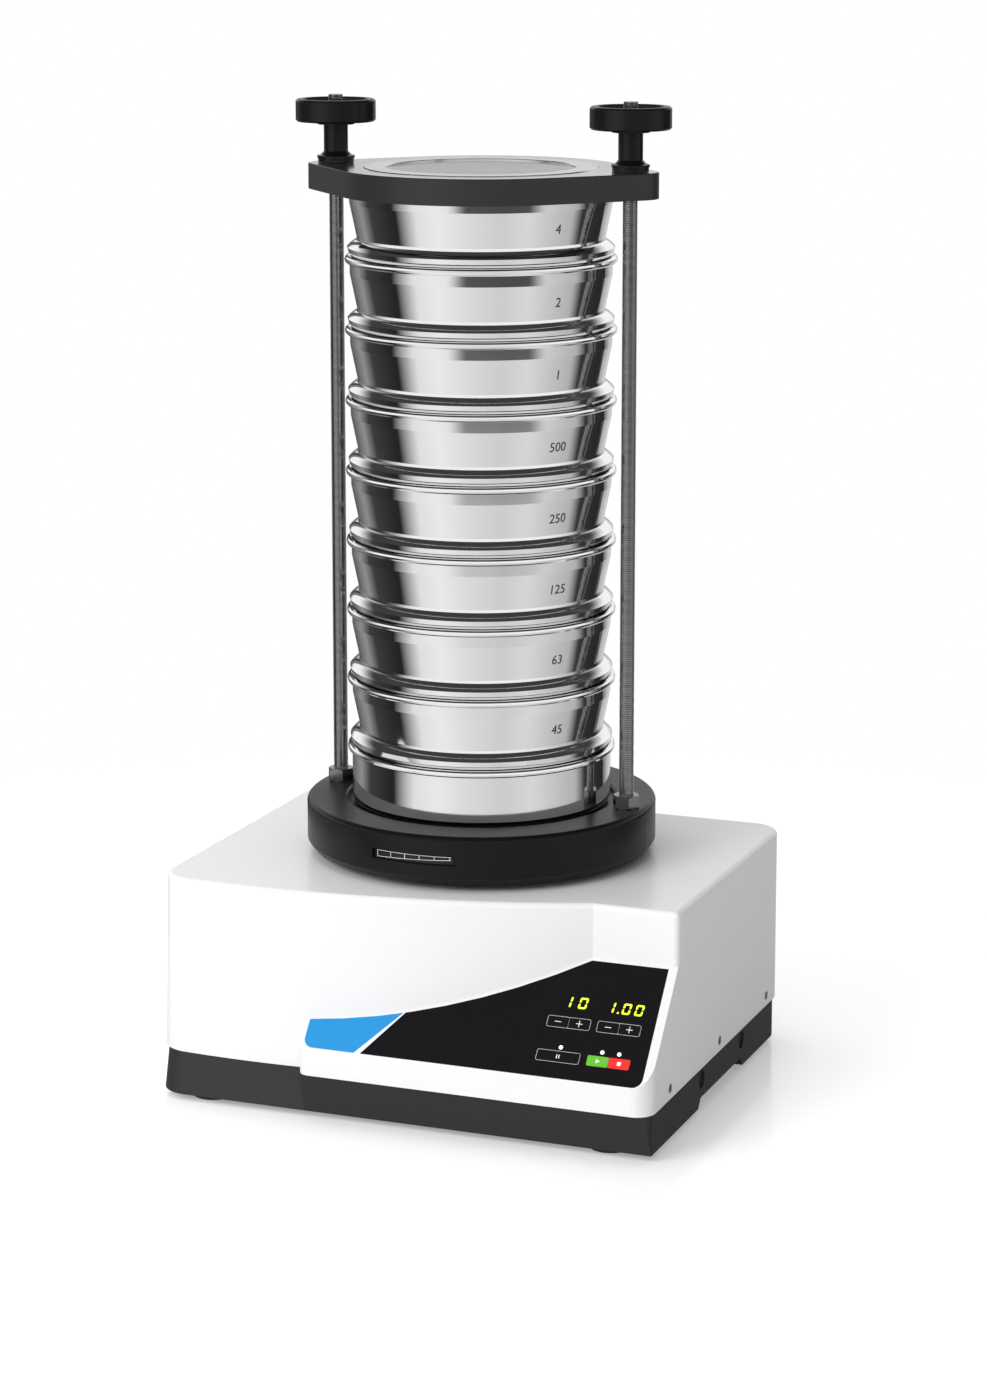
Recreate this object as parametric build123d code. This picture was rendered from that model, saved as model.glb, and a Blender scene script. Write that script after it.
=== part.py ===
from build123d import *
import math
import os

# Laboratory sieve shaker with a clamped stack of eight test sieves and a collecting pan.
# Millimetres. X is to the right seen from the front, Y to the back, Z up.
# The origin is on the floor, under the middle of the housing.

# Housing
HOUSING_WIDTH = 417.0
FRONT_REACH = 191.0
BACK_REACH = 150.0
FOOT_HEIGHT = 5.0
BASE_HEIGHT = 33.0
SHELL_TOP_Z = 179.0
SHELL_WALL = 3.0
SHELL_EDGE_ROUND = 4.0
LEFT_DRAFT = 3.6
FRONT_CORNER_R = 28.0
BACK_CORNER_R = 25.0
RIGHT_CORNER_R = 4.0
BULGE_R = 720.0
BULGE_APEX_X = -125.0
CREASE_X = 140.0
PANEL_SETBACK = 125.0
TRAY_INSET = 2.0
TRAY_FRONT_REACH = 179.5
TRAY_WALL = 4.0
TRAY_FLOOR = 5.0
TRAY_LIP_HEIGHT = 6.0
FIT_GAP = 0.3

# Inclined control panel
PANEL_TOP_Z = 136.8
PANEL_BOTTOM_Z = 60.0
PANEL_LEFT_X = -79.0
LIP_LEFT_R = 10.0
LIP_RIGHT_R = 15.0
FASCIA_DEPTH = 1.2
FASCIA_RIM = 2.4
FASCIA_LOW_RIM = 0.96
FASCIA_CORNER_R = 8.0
FASCIA_LEFT_X = -73.5
FASCIA_RIGHT_X = 201.5
FASCIA_SPLIT_X = 4.0
FASCIA_SPLIT_BOTTOM_X = -29.0
FASCIA_SPLIT_HALF_GAP = 2.6
FASCIA_TOP_GAP = 0.5
KEY_WIDTH = 17.0
KEY_HEIGHT = 8.6
KEY_PROUD = 0.25
KEY_THICKNESS = 1.9
KEY_GAP = 0.12
TIME_KEYS_X = 133.7
AMPLITUDE_KEYS_X = 173.7
ADJUST_KEYS_S = 54.9
PAUSE_KEY_X = 131.7
PAUSE_KEY_WIDTH = 34.0
RUN_KEYS_X = 171.8
RUN_KEYS_S = 82.8
DISPLAY_S = 38.2
TIME_DISPLAY_X = 137.7
TIME_DISPLAY_WIDTH = 26.0
AMPLITUDE_DISPLAY_X = 177.2
AMPLITUDE_DISPLAY_WIDTH = 36.0
DISPLAY_HEIGHT = 13.0
LED_R = 1.6
LED_S = 75.2
LED_XS = (132.3, 165.4, 178.8)
BOARD_DEPTH = 13.0
BOARD_THICKNESS = 1.6
KEY_TRAVEL_ROOM = 0.7

# Sieve plate, rods and clamping lid
PLATE_R = 139.4
PLATE_BOTTOM_Z = 185.0
PLATE_TOP_Z = 223.0
PLATE_EDGE = 5.0
PLATE_EDGE_IN = 3.4
PLATE_WEB = 12.0
SEAT_R = 107.0
SEAT_DEPTH = 4.0
SLOT_FROM_DEG = -15.9
SLOT_TO_DEG = 13.2
SLOT_LOW_Z = 200.2
SLOT_HIGH_Z = 207.9
SLOT_DEPTH = 2.4
ROD_SPACING = 245.2
ROD_R = 6.0
ROD_TOP_Z = 776.5
ROD_THREAD_PITCH = 1.75
NUT_FLATS = 19.0
NUT_HEIGHT = 10.0
LID_DISC_R = 112.0
LID_EAR_R = 22.0
LID_BOTTOM_Z = 703.0
LID_TOP_Z = 723.3
LID_RECESS_DEPTH = 8.1
LID_HOLE_R = 6.75
RING_R = 91.0
RING_BORE_R = 73.6
RING_THICKNESS = 4.2
RING_PROUD = 0.5
WINDOW_FLANGE = 3.0
WINDOW_BELOW_RING = 1.4
WINDOW_R = 88.0

# Sieves and pan
SIEVE_COUNT = 8
SIEVE_PITCH = 55.5
FIRST_JOINT_Z = 268.4
BEAD_R = 106.5
BEAD_WIRE_R = 2.9
BEAD_SIDES = 12
BEAD_BELOW_JOINT = 4.5
BAND_R = 102.5
BAND_BOTTOM_BELOW_TOP = 15.7
NECK_R = 96.9
NECK_ABOVE_JOINT = 12.7
SHOULDER_R = 104.4
SHOULDER_MID = 5.2
SHOULDER_TOP = 9.4
SKIRT_R = 100.3
SKIRT_SEAT = 3.6
SKIRT_LENGTH = 8.0
SHEET = 1.0
MESH_THICKNESS = 0.6
MESH_ABOVE_JOINT = 10.8
PAN_WALL_R = 103.0
PAN_CORNER_R = 6.5

# Clamping knobs
KNOB_R = 31.5
KNOB_BOTTOM_Z = 755.5
KNOB_TOP_Z = 773.0
KNOB_CUP_R = 25.5
KNOB_CUP_DEPTH = 12.0
KNOB_EDGE = 1.4
KNOB_HUB_R = 11.0
SLEEVE_R = 9.5
SLEEVE_FLANGE_R = 14.8
SLEEVE_COLLAR_R = 14.5
SLEEVE_FLANGE_HEIGHT = 2.0
SLEEVE_CONE_R = 12.2
SLEEVE_CONE_HEIGHT = 3.5
WASHER_R = 14.2
WASHER_HEIGHT = 3.2
THREAD_CLEARANCE = 0.08

# Drive inside the housing
HUB_R = 42.0
HUB_OPENING_R = 70.0
CARRIER_ARM_R = 96.0
CARRIER_Z = 150.0
CARRIER_THICKNESS = 14.0
ARM_COUNT = 3
ARM_WIDTH = 34.0
LEAF_THICKNESS = 1.5
LEAF_WIDTH = 30.0
LEAF_RUN = 70.0
MASS_LENGTH = 290.0
MASS_DEPTH = 230.0
MASS_BOTTOM_Z = 16.0
MASS_TOP_Z = 72.0
MASS_POST_HEIGHT = 47.0
POCKET_LENGTH = 104.0
POCKET_DEPTH = 64.0
CORE_LENGTH = 96.0
CORE_STACK = 46.0
CORE_BASE = 18.0
CORE_TOP_Z = 112.0
CORE_LIMB = 16.0
COIL_GAP = 0.6
AIR_GAP = 4.0
ARMATURE_HEIGHT = 20.0

# Driver board on edge in the front of the tray
DRIVER_X = -125.0
DRIVER_LENGTH = 90.0
DRIVER_HEIGHT = 96.0
DRIVER_CLEAR = 14.0
FIN_COUNT = 6

# Side screws, hand grips, feet
SIDE_SCREW_YS = (-121.0, 1.0, 125.0)
SIDE_SCREW_Z = 46.5
SIDE_SCREW_R = 3.4
SIDE_SCREW_HEAD = 1.0
SCREW_SHANK_R = 2.0
GRIP_Y = 11.0
GRIP_TOP_HALF = 51.0
GRIP_BOTTOM_HALF = 57.5
GRIP_HEIGHT = 7.4
GRIP_DEPTH = 24.0
PLUG_YS = (-38.0, 64.0)
PLUG_Z = 27.0
PLUG_R = 7.0
PLUG_DEPTH = 2.0
FOOT_X = 166.0
FOOT_FRONT_Y = -134.5
FOOT_BACK_Y = 142.5
FOOT_R = 17.8
FOOT_RECESS = 3.0

# Mains entry on the back
ENTRY_X = 120.0
ENTRY_Z = 80.0
ENTRY_WIDTH = 30.0
ENTRY_HEIGHT = 62.0
ENTRY_FLANGE = 3.0
ENTRY_FLANGE_THICKNESS = 2.0
ENTRY_DEPTH = 34.0
ROCKER_WIDTH = 20.0
ROCKER_HEIGHT = 13.0
INLET_WIDTH = 24.0
INLET_HEIGHT = 16.6
INLET_BELOW = 16.0
ROCKER_ABOVE = 20.0
FUSE_ABOVE = 2.0
ROCKER_TILT = 8.0

# Worked out from the sizes above
STACK_Y = (FRONT_REACH - BACK_REACH) / 2
FRONT_Y = STACK_Y - FRONT_REACH
BACK_Y = STACK_Y + BACK_REACH
HALF_WIDTH = HOUSING_WIDTH / 2
WALL_FRONT_Y = STACK_Y - PANEL_SETBACK
SHELL_BOTTOM_Z = FOOT_HEIGHT + BASE_HEIGHT
BULGE_Y = WALL_FRONT_Y + math.sqrt(BULGE_R**2 - (CREASE_X - BULGE_APEX_X) ** 2)
PANEL_SLOPE = (WALL_FRONT_Y - FRONT_Y) / (PANEL_TOP_Z - PANEL_BOTTOM_Z)
SLOPE_LENGTH = math.hypot(1, PANEL_SLOPE)
PANEL_S = (PANEL_TOP_Z - PANEL_BOTTOM_Z) * SLOPE_LENGTH
SEAT_Z = PLATE_TOP_Z - SEAT_DEPTH
ROD_X = ROD_SPACING / 2
LID_RECESS_R = BEAD_R + 2.0
STACK = Pos(0, STACK_Y, 0)
PANEL = Plane(
    origin=(0, WALL_FRONT_Y, PANEL_TOP_Z),
    x_dir=(1, 0, 0),
    z_dir=(0, -1, PANEL_SLOPE),
)
os.makedirs("parts", exist_ok=True)


def save(name, *solids):
    """Writes one node, which is one solid or a group of separate ones."""
    found = [solid for shape in solids for solid in shape.solids()]
    export_step(Compound(children=found), f"parts/{name}.step")


def revolved(face, arc=360.0):
    return revolve(face, axis=Axis.Z, revolution_arc=arc)


def ring(outer, inner, z_low, z_high):
    body = Pos(0, 0, z_low) * Cylinder(outer, z_high - z_low, align=BOTTOM)
    return body - Pos(0, 0, z_low) * Cylinder(inner, z_high - z_low, align=BOTTOM)


def disc(radius, z_low, z_high):
    return Pos(0, 0, z_low) * Cylinder(radius, z_high - z_low, align=BOTTOM)


def block(x_low, x_high, y_low, y_high, z_low, z_high):
    centre = ((x_low + x_high) / 2, (y_low + y_high) / 2, (z_low + z_high) / 2)
    return Pos(*centre) * Box(x_high - x_low, y_high - y_low, z_high - z_low)


def bulge_y(x, inset=0.0):
    """The front wall is one wide arc in plan."""
    return BULGE_Y - math.sqrt((BULGE_R - inset) ** 2 - (x - BULGE_APEX_X) ** 2)


def outline(inset, left_draft=0.0):
    """Plan of the housing: wide arc on the left of the front, a flat on the right."""
    left = -HALF_WIDTH + inset + left_draft
    right = HALF_WIDTH - inset
    flat_y = WALL_FRONT_Y + inset
    crease = BULGE_APEX_X + math.sqrt((BULGE_R - inset) ** 2 - (BULGE_Y - flat_y) ** 2)
    back = BACK_Y - inset
    middle = (left + crease) / 2
    path = ThreePointArc((left, bulge_y(left, inset)), (middle, bulge_y(middle, inset)), (crease, flat_y))
    path += Line((crease, flat_y), (right, flat_y))
    path += Line((right, flat_y), (right, back))
    path += Line((right, back), (left, back))
    path += Line((left, back), (left, bulge_y(left, inset)))
    face = make_face(path)
    corners = face.vertices()
    face = fillet(corners.group_by(Axis.Y)[-1], BACK_CORNER_R - inset)
    front_left = face.vertices().sort_by(lambda v: (v.X - left) ** 2 + (v.Y - bulge_y(left, inset)) ** 2)[0]
    face = fillet(front_left, FRONT_CORNER_R - inset)
    if inset < RIGHT_CORNER_R:
        near = face.vertices().sort_by(lambda v: (v.X - right) ** 2 + (v.Y - flat_y) ** 2)[0]
        face = fillet(near, RIGHT_CORNER_R - inset)
    return face


def panel_block(inset, z_low):
    """The wedge under the inclined panel, with its upright lip and rounded corners."""
    left = PANEL_LEFT_X + inset
    right = HALF_WIDTH - inset
    front = FRONT_Y + inset
    deep = STACK_Y
    plan = make_face(Polyline((left, deep), (left, front), (right, front), (right, deep), close=True))
    by_x = plan.vertices().group_by(Axis.Y)[0].sort_by(Axis.X)
    plan = fillet(by_x[0], LIP_LEFT_R - inset)
    corner = plan.vertices().sort_by(lambda v: (v.X - right) ** 2 + (v.Y - front) ** 2)[0]
    plan = fillet(corner, LIP_RIGHT_R - inset)
    solid = extrude(Pos(0, 0, z_low) * plan, PANEL_TOP_Z - z_low)
    # The slope is cut off by a wedge that lies on the panel plane.
    above = PANEL.offset(-inset) * Pos(0, 0, 200) * Box(2 * HOUSING_WIDTH, 2 * HOUSING_WIDTH, 400)
    return solid - above


def panel_prism(points, depth, low=0.0):
    """A shape drawn on the panel, x along it and s down it, extruded outwards from low."""
    face = make_face(Polyline(*[(x, -s) for x, s in points], close=True))
    return extrude(PANEL.offset(low) * face, depth)


def panel_box(x, s, width, height, low, high, corner=0.0):
    face = RectangleRounded(width, height, corner) if corner else Rectangle(width, height)
    return extrude(PANEL.offset(low) * (Pos(x, -s) * face), high - low)


def panel_round(x, s, radius, low, high):
    return extrude(PANEL.offset(low) * (Pos(x, -s) * Circle(radius)), high - low)


def wall_line_s(x):
    """How far down the panel the curved front wall meets it."""
    reach = (WALL_FRONT_Y - bulge_y(x)) / PANEL_SLOPE
    return max(0.0, reach) * SLOPE_LENGTH


def key_places():
    half = KEY_WIDTH / 2
    return {
        "time_minus": (TIME_KEYS_X - half, ADJUST_KEYS_S, KEY_WIDTH),
        "time_plus": (TIME_KEYS_X + half, ADJUST_KEYS_S, KEY_WIDTH),
        "amplitude_minus": (AMPLITUDE_KEYS_X - half, ADJUST_KEYS_S, KEY_WIDTH),
        "amplitude_plus": (AMPLITUDE_KEYS_X + half, ADJUST_KEYS_S, KEY_WIDTH),
        "pause": (PAUSE_KEY_X, RUN_KEYS_S, PAUSE_KEY_WIDTH),
        "start": (RUN_KEYS_X - half, RUN_KEYS_S, KEY_WIDTH),
        "stop": (RUN_KEYS_X + half, RUN_KEYS_S, KEY_WIDTH),
    }


def display_places():
    return (
        (TIME_DISPLAY_X, TIME_DISPLAY_WIDTH),
        (AMPLITUDE_DISPLAY_X, AMPLITUDE_DISPLAY_WIDTH),
    )


def fascia_outline():
    """Outline of the two printed overlays together, as (x, s) points down the panel."""
    low = PANEL_S - FASCIA_LOW_RIM
    steps = 8
    points = []
    for step in range(steps + 1):
        x = FASCIA_LEFT_X + (CREASE_X - FASCIA_LEFT_X) * step / steps
        points.append((x, wall_line_s(x) + FASCIA_RIM))
    points.append((FASCIA_RIGHT_X, FASCIA_RIM))
    points.append((FASCIA_RIGHT_X, low))
    points.append((FASCIA_LEFT_X, low))
    return points


def fascia_parts():
    """The black and the blue overlay, split by a slanting gap."""
    full = panel_prism(fascia_outline(), FASCIA_DEPTH, -FASCIA_DEPTH)
    # The two low corners are rounded by a box that reaches past the top edge.
    full = full & panel_box(
        (FASCIA_LEFT_X + FASCIA_RIGHT_X) / 2,
        PANEL_S / 2 - FASCIA_CORNER_R,
        FASCIA_RIGHT_X - FASCIA_LEFT_X,
        PANEL_S + 2 * FASCIA_CORNER_R - 2 * FASCIA_LOW_RIM,
        -FASCIA_DEPTH,
        0.0,
        FASCIA_CORNER_R,
    )
    s_top = wall_line_s(FASCIA_SPLIT_X)
    lean = (FASCIA_SPLIT_X - FASCIA_SPLIT_BOTTOM_X) / (PANEL_S - s_top)

    def split_x(s, gap_top, gap_bottom):
        share = (s - s_top) / (PANEL_S - s_top)
        return FASCIA_SPLIT_X - lean * (s - s_top) + gap_top + (gap_bottom - gap_top) * share

    far = HOUSING_WIDTH
    s_low, s_high = s_top - 20.0, PANEL_S + 10.0
    right_side = [
        (split_x(s_low, FASCIA_TOP_GAP, FASCIA_SPLIT_HALF_GAP), s_low),
        (far, s_low - 2 * PANEL_S),
        (far, s_high),
        (split_x(s_high, FASCIA_TOP_GAP, FASCIA_SPLIT_HALF_GAP), s_high),
    ]
    left_side = [
        (split_x(s_low, -FASCIA_TOP_GAP, -FASCIA_SPLIT_HALF_GAP), s_low),
        (-far, s_low - 2 * PANEL_S),
        (-far, s_high),
        (split_x(s_high, -FASCIA_TOP_GAP, -FASCIA_SPLIT_HALF_GAP), s_high),
    ]
    black = full & panel_prism(right_side, 3 * FASCIA_DEPTH, -2 * FASCIA_DEPTH)
    blue = full & panel_prism(left_side, 3 * FASCIA_DEPTH, -2 * FASCIA_DEPTH)
    return black, blue


def make_upper_shell(fascia):
    height = SHELL_TOP_Z - SHELL_BOTTOM_Z
    lower = Pos(0, 0, SHELL_BOTTOM_Z) * outline(0.0)
    upper = Pos(0, 0, SHELL_TOP_Z) * outline(0.0, LEFT_DRAFT)
    body = loft([lower, upper], ruled=True)
    body = fillet(body.faces().sort_by(Axis.Z)[-1].edges(), SHELL_EDGE_ROUND)
    body = body + panel_block(0.0, SHELL_BOTTOM_Z)
    inner_low = Pos(0, 0, SHELL_BOTTOM_Z - 1) * outline(SHELL_WALL)
    inner_high = Pos(0, 0, SHELL_TOP_Z - SHELL_WALL) * outline(SHELL_WALL, LEFT_DRAFT)
    cavity = loft([inner_low, inner_high], ruled=True)
    cavity = cavity + panel_block(SHELL_WALL, SHELL_BOTTOM_Z - 1)
    # The pads behind the mains entry and round the hub opening are left standing.
    entry_pad = block(
        ENTRY_X - ENTRY_WIDTH / 2 - 8,
        ENTRY_X + ENTRY_WIDTH / 2 + 8,
        BACK_Y - SHELL_WALL - ENTRY_FLANGE_THICKNESS,
        BACK_Y,
        ENTRY_Z - ENTRY_HEIGHT / 2 - 8,
        ENTRY_Z + ENTRY_HEIGHT / 2 + 8,
    )
    cavity = cavity - entry_pad
    # Bosses carry the control board behind the panel.
    for x, s in board_screws():
        cavity = cavity - panel_round(x, s, 4.0, -BOARD_DEPTH, 0.0)
    body = body - cavity
    body = body - STACK * disc(HUB_OPENING_R, SHELL_TOP_Z - height / 2, SHELL_TOP_Z + 1)
    for shape in fascia:
        body = body - shape
    for x, width in display_places():
        body = body - panel_box(x, DISPLAY_S, width, DISPLAY_HEIGHT, -SHELL_WALL - 2, -FASCIA_DEPTH / 2)
    for x, s, width in key_places().values():
        clear = 2 * (KEY_GAP + 0.4)
        body = body - panel_box(x, s, width + clear, KEY_HEIGHT + clear, -SHELL_WALL - 2, 0)
    for x in LED_XS:
        body = body - panel_round(x, LED_S, LED_R + 0.3, -SHELL_WALL - 2, 0)
    flange = ENTRY_FLANGE + FIT_GAP
    body = body - block(
        ENTRY_X - ENTRY_WIDTH / 2 - flange,
        ENTRY_X + ENTRY_WIDTH / 2 + flange,
        BACK_Y - ENTRY_FLANGE_THICKNESS,
        BACK_Y + 1,
        ENTRY_Z - ENTRY_HEIGHT / 2 - flange,
        ENTRY_Z + ENTRY_HEIGHT / 2 + flange,
    )
    body = body - block(
        ENTRY_X - ENTRY_WIDTH / 2 - FIT_GAP,
        ENTRY_X + ENTRY_WIDTH / 2 + FIT_GAP,
        BACK_Y - 10,
        BACK_Y + 1,
        ENTRY_Z - ENTRY_HEIGHT / 2 - FIT_GAP,
        ENTRY_Z + ENTRY_HEIGHT / 2 + FIT_GAP,
    )
    for side in (-1, 1):
        for y in SIDE_SCREW_YS:
            across = Pos(side * HALF_WIDTH, y, SIDE_SCREW_Z) * Rot(0, 90, 0)
            body = body - across * Cylinder(SCREW_SHANK_R + FIT_GAP, 40)
            body = body - across * Cylinder(SIDE_SCREW_R + FIT_GAP, 2 * SIDE_SCREW_HEAD)
    return body


def board_screws():
    edge = 6.0
    left, right = TIME_KEYS_X - 22.0, FASCIA_RIGHT_X - 2.0
    return ((left, 20.0), (right - edge, 20.0), (left - edge, 92.0), (right - edge, 92.0))


def tray_left_plan(right, front):
    """Plan of the tray left of the panel; front gives the front edge at x."""
    left, back = -HALF_WIDTH + TRAY_INSET, BACK_Y - TRAY_INSET
    middle = (left + right) / 2
    path = ThreePointArc((left, front(left)), (middle, front(middle) - 0.05), (right, front(right)))
    path += Polyline((right, front(right)), (right, back), (left, back), (left, front(left)))
    face = make_face(path)
    corners = face.vertices().group_by(Axis.X)[0].sort_by(Axis.Y)
    face = fillet(corners[-1], BACK_CORNER_R - TRAY_INSET)
    corners = face.vertices().group_by(Axis.X)[0].sort_by(Axis.Y)
    return fillet(corners[0], FRONT_CORNER_R - TRAY_INSET)


def make_base_tray():
    """Dark tray with upright walls and two hand grips."""
    low = FOOT_HEIGHT
    step_x = PANEL_LEFT_X + TRAY_INSET
    # The bottom edge runs straight across; above it the front follows the housing.
    straight = STACK_Y - TRAY_FRONT_REACH
    below = tray_left_plan(step_x, lambda x: straight)
    above = tray_left_plan(step_x, lambda x: bulge_y(x) + TRAY_INSET)
    left_part = loft([Pos(0, 0, low) * below, Pos(0, 0, SHELL_BOTTOM_Z) * above], ruled=True)
    right_part = block(step_x, HALF_WIDTH - TRAY_INSET, FRONT_Y, BACK_Y - TRAY_INSET, low, SHELL_BOTTOM_Z)
    by_y = right_part.edges().filter_by(Axis.Z).group_by(Axis.Y)
    right_part = fillet(by_y[-1].sort_by(Axis.X)[-1], BACK_CORNER_R - TRAY_INSET)
    by_y = right_part.edges().filter_by(Axis.Z).group_by(Axis.Y)
    right_part = fillet(by_y[0].sort_by(Axis.X)[-1], LIP_RIGHT_R - TRAY_INSET)
    side_face = make_face(
        Polyline(
            (straight, low),
            (BACK_Y, low),
            (BACK_Y, SHELL_BOTTOM_Z),
            (FRONT_Y + TRAY_INSET, SHELL_BOTTOM_Z),
            close=True,
        )
    )
    right_part = right_part & extrude(Plane.YZ.offset(step_x) * side_face, HOUSING_WIDTH)
    outer = left_part + right_part
    inset = TRAY_INSET + TRAY_WALL
    hollow = extrude(Pos(0, 0, low + TRAY_FLOOR) * outline(inset), BASE_HEIGHT)
    front_bay = block(
        PANEL_LEFT_X + inset + LIP_LEFT_R,
        HALF_WIDTH - inset - LIP_RIGHT_R / 2,
        STACK_Y - TRAY_FRONT_REACH + TRAY_WALL + 1.0,
        WALL_FRONT_Y + 20,
        low + TRAY_FLOOR,
        SHELL_BOTTOM_Z + 1,
    )
    body = outer - hollow - front_bay
    for side in (-1, 1):
        grip_face = make_face(
            Polyline(
                (GRIP_Y - GRIP_BOTTOM_HALF, low - 1),
                (GRIP_Y + GRIP_BOTTOM_HALF, low - 1),
                (GRIP_Y + GRIP_TOP_HALF, low + GRIP_HEIGHT),
                (GRIP_Y - GRIP_TOP_HALF, low + GRIP_HEIGHT),
                close=True,
            )
        )
        inner_x = HALF_WIDTH - GRIP_DEPTH
        grip = extrude(Plane.YZ.offset(inner_x) * grip_face, GRIP_DEPTH + 5)
        roof = extrude(Plane.YZ.offset(inner_x - 4) * offset_face(grip_face, 4.0), GRIP_DEPTH)
        roof = roof & block(0, HALF_WIDTH - TRAY_INSET - 1, -100, 100, low, SHELL_BOTTOM_Z)
        if side < 0:
            grip, roof = grip.mirror(Plane.YZ), roof.mirror(Plane.YZ)
        body = body + roof - grip
        for y in PLUG_YS:
            across = Pos(side * (HALF_WIDTH - TRAY_INSET), y, PLUG_Z) * Rot(0, 90, 0)
            body = body - across * Cylinder(PLUG_R, 2 * PLUG_DEPTH)
    for x, y in foot_places():
        body = body - Pos(x, y, low + FOOT_RECESS / 2) * Cylinder(FOOT_R + FIT_GAP, FOOT_RECESS)
        body = body - Pos(x, y, low) * Cylinder(SCREW_SHANK_R + FIT_GAP, 40)
    for x, y in mass_bolt_places():
        body = body + Pos(x, y, low) * Cylinder(11, MASS_BOTTOM_Z - low, align=BOTTOM)
        body = body - Pos(x, y, low) * Cylinder(4.2, 60)
        body = body - Pos(x, y, low) * Cylinder(8.0, 2 * 4.5)
    return body


def make_locating_strips():
    """Strips that stand on the tray's edge inside the housing and take the side screws."""
    high = SIDE_SCREW_Z + TRAY_LIP_HEIGHT
    height = high - SHELL_BOTTOM_Z
    lean = LEFT_DRAFT * height / (SHELL_TOP_Z - SHELL_BOTTOM_Z) + FIT_GAP
    strips = extrude(Pos(0, 0, SHELL_BOTTOM_Z) * outline(SHELL_WALL + FIT_GAP, lean), height)
    strips = strips - extrude(Pos(0, 0, SHELL_BOTTOM_Z - 1) * outline(TRAY_INSET + TRAY_WALL), height + 2)
    strips = strips - block(
        -HALF_WIDTH + 60, HALF_WIDTH - 12, FRONT_Y - 10, WALL_FRONT_Y + 40, SHELL_BOTTOM_Z, SHELL_TOP_Z
    )
    strips = strips - block(
        ENTRY_X - ENTRY_WIDTH, ENTRY_X + ENTRY_WIDTH, BACK_Y - 20, BACK_Y, SHELL_BOTTOM_Z, SHELL_TOP_Z
    )
    for side in (-1, 1):
        for y in SIDE_SCREW_YS:
            across = Pos(side * HALF_WIDTH, y, SIDE_SCREW_Z) * Rot(0, 90, 0)
            strips = strips - across * Cylinder(SCREW_SHANK_R, 40)
    return strips


def offset_face(face, amount):
    return offset(face, amount, kind=Kind.INTERSECTION)


def foot_places():
    return [(side * FOOT_X, y) for side in (-1, 1) for y in (FOOT_FRONT_Y, FOOT_BACK_Y)]


def mass_bolt_places():
    x, y = MASS_LENGTH / 2 - 22, MASS_DEPTH / 2 - 20
    return [(sx * x, STACK_Y + sy * y) for sx in (-1, 1) for sy in (-1, 1)]


def make_feet():
    feet, screws = [], []
    for x, y in foot_places():
        foot = Pos(x, y, 0) * Cylinder(FOOT_R, FOOT_HEIGHT + FOOT_RECESS, align=BOTTOM)
        foot = chamfer(foot.edges().group_by(Axis.Z)[0], 1.2)
        foot = foot - Pos(x, y, 0) * Cylinder(6.0, 2 * 3.0)
        foot = foot - Pos(x, y, 0) * Cylinder(SCREW_SHANK_R, 40)
        feet.append(foot)
        head = Pos(x, y, 1.0) * Cylinder(5.0, 2.0, align=BOTTOM)
        shank = Pos(x, y, 1.0) * Cylinder(SCREW_SHANK_R, 12.0, align=BOTTOM)
        screws.append(head + shank)
    return feet, screws


def make_side_screws():
    """Slotted screws, sunk flush in the side walls."""
    screws = []
    for side in (-1, 1):
        for y in SIDE_SCREW_YS:
            turn = Pos(side * HALF_WIDTH, y, SIDE_SCREW_Z) * Rot(0, side * 90, 0)
            head = turn * (Pos(0, 0, -SIDE_SCREW_HEAD) * Cylinder(SIDE_SCREW_R, SIDE_SCREW_HEAD, align=BOTTOM))
            slot = turn * Box(0.9, 2 * SIDE_SCREW_R, 1.0)
            shank = turn * (Pos(0, 0, -10) * Cylinder(SCREW_SHANK_R, 10.0, align=BOTTOM))
            screws.append(head - slot + shank)
    return screws


def make_counter_mass():
    """Cast block that the plate swings against, with the magnet pocket and spring posts."""
    length, depth = MASS_LENGTH, MASS_DEPTH
    plan = RectangleRounded(length, depth, 24)
    body = extrude(Pos(0, STACK_Y, MASS_BOTTOM_Z) * plan, MASS_TOP_Z - MASS_BOTTOM_Z)
    body = chamfer(body.edges().group_by(Axis.Z)[-1], 5)
    pocket = block(
        -POCKET_LENGTH / 2,
        POCKET_LENGTH / 2,
        STACK_Y - POCKET_DEPTH / 2,
        STACK_Y + POCKET_DEPTH / 2,
        MASS_TOP_Z - 30,
        MASS_TOP_Z + 1,
    )
    body = body - pocket
    for x, y in mass_bolt_places():
        body = body - Pos(x, y, MASS_BOTTOM_Z) * Cylinder(4.2, 60)
    for place in arm_places():
        post = Pos(0, 0, MASS_TOP_Z - 5) * block(-26, 26, -22, 22, 0, MASS_POST_HEIGHT + 5)
        body = body + place * (Pos(-LEAF_RUN / 2, 0, 0) * post)
    return body


def arm_places():
    """One frame per leaf spring: x runs round the axis, y points outwards."""
    step = 360 / ARM_COUNT
    for index in range(ARM_COUNT):
        yield STACK * Rot(0, 0, 90 + index * step) * Pos(0, CARRIER_ARM_R, 0)


def leaf_ends():
    low = (-LEAF_RUN / 2, MASS_TOP_Z + MASS_POST_HEIGHT)
    high = (LEAF_RUN / 2, CARRIER_Z)
    return low, high


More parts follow.
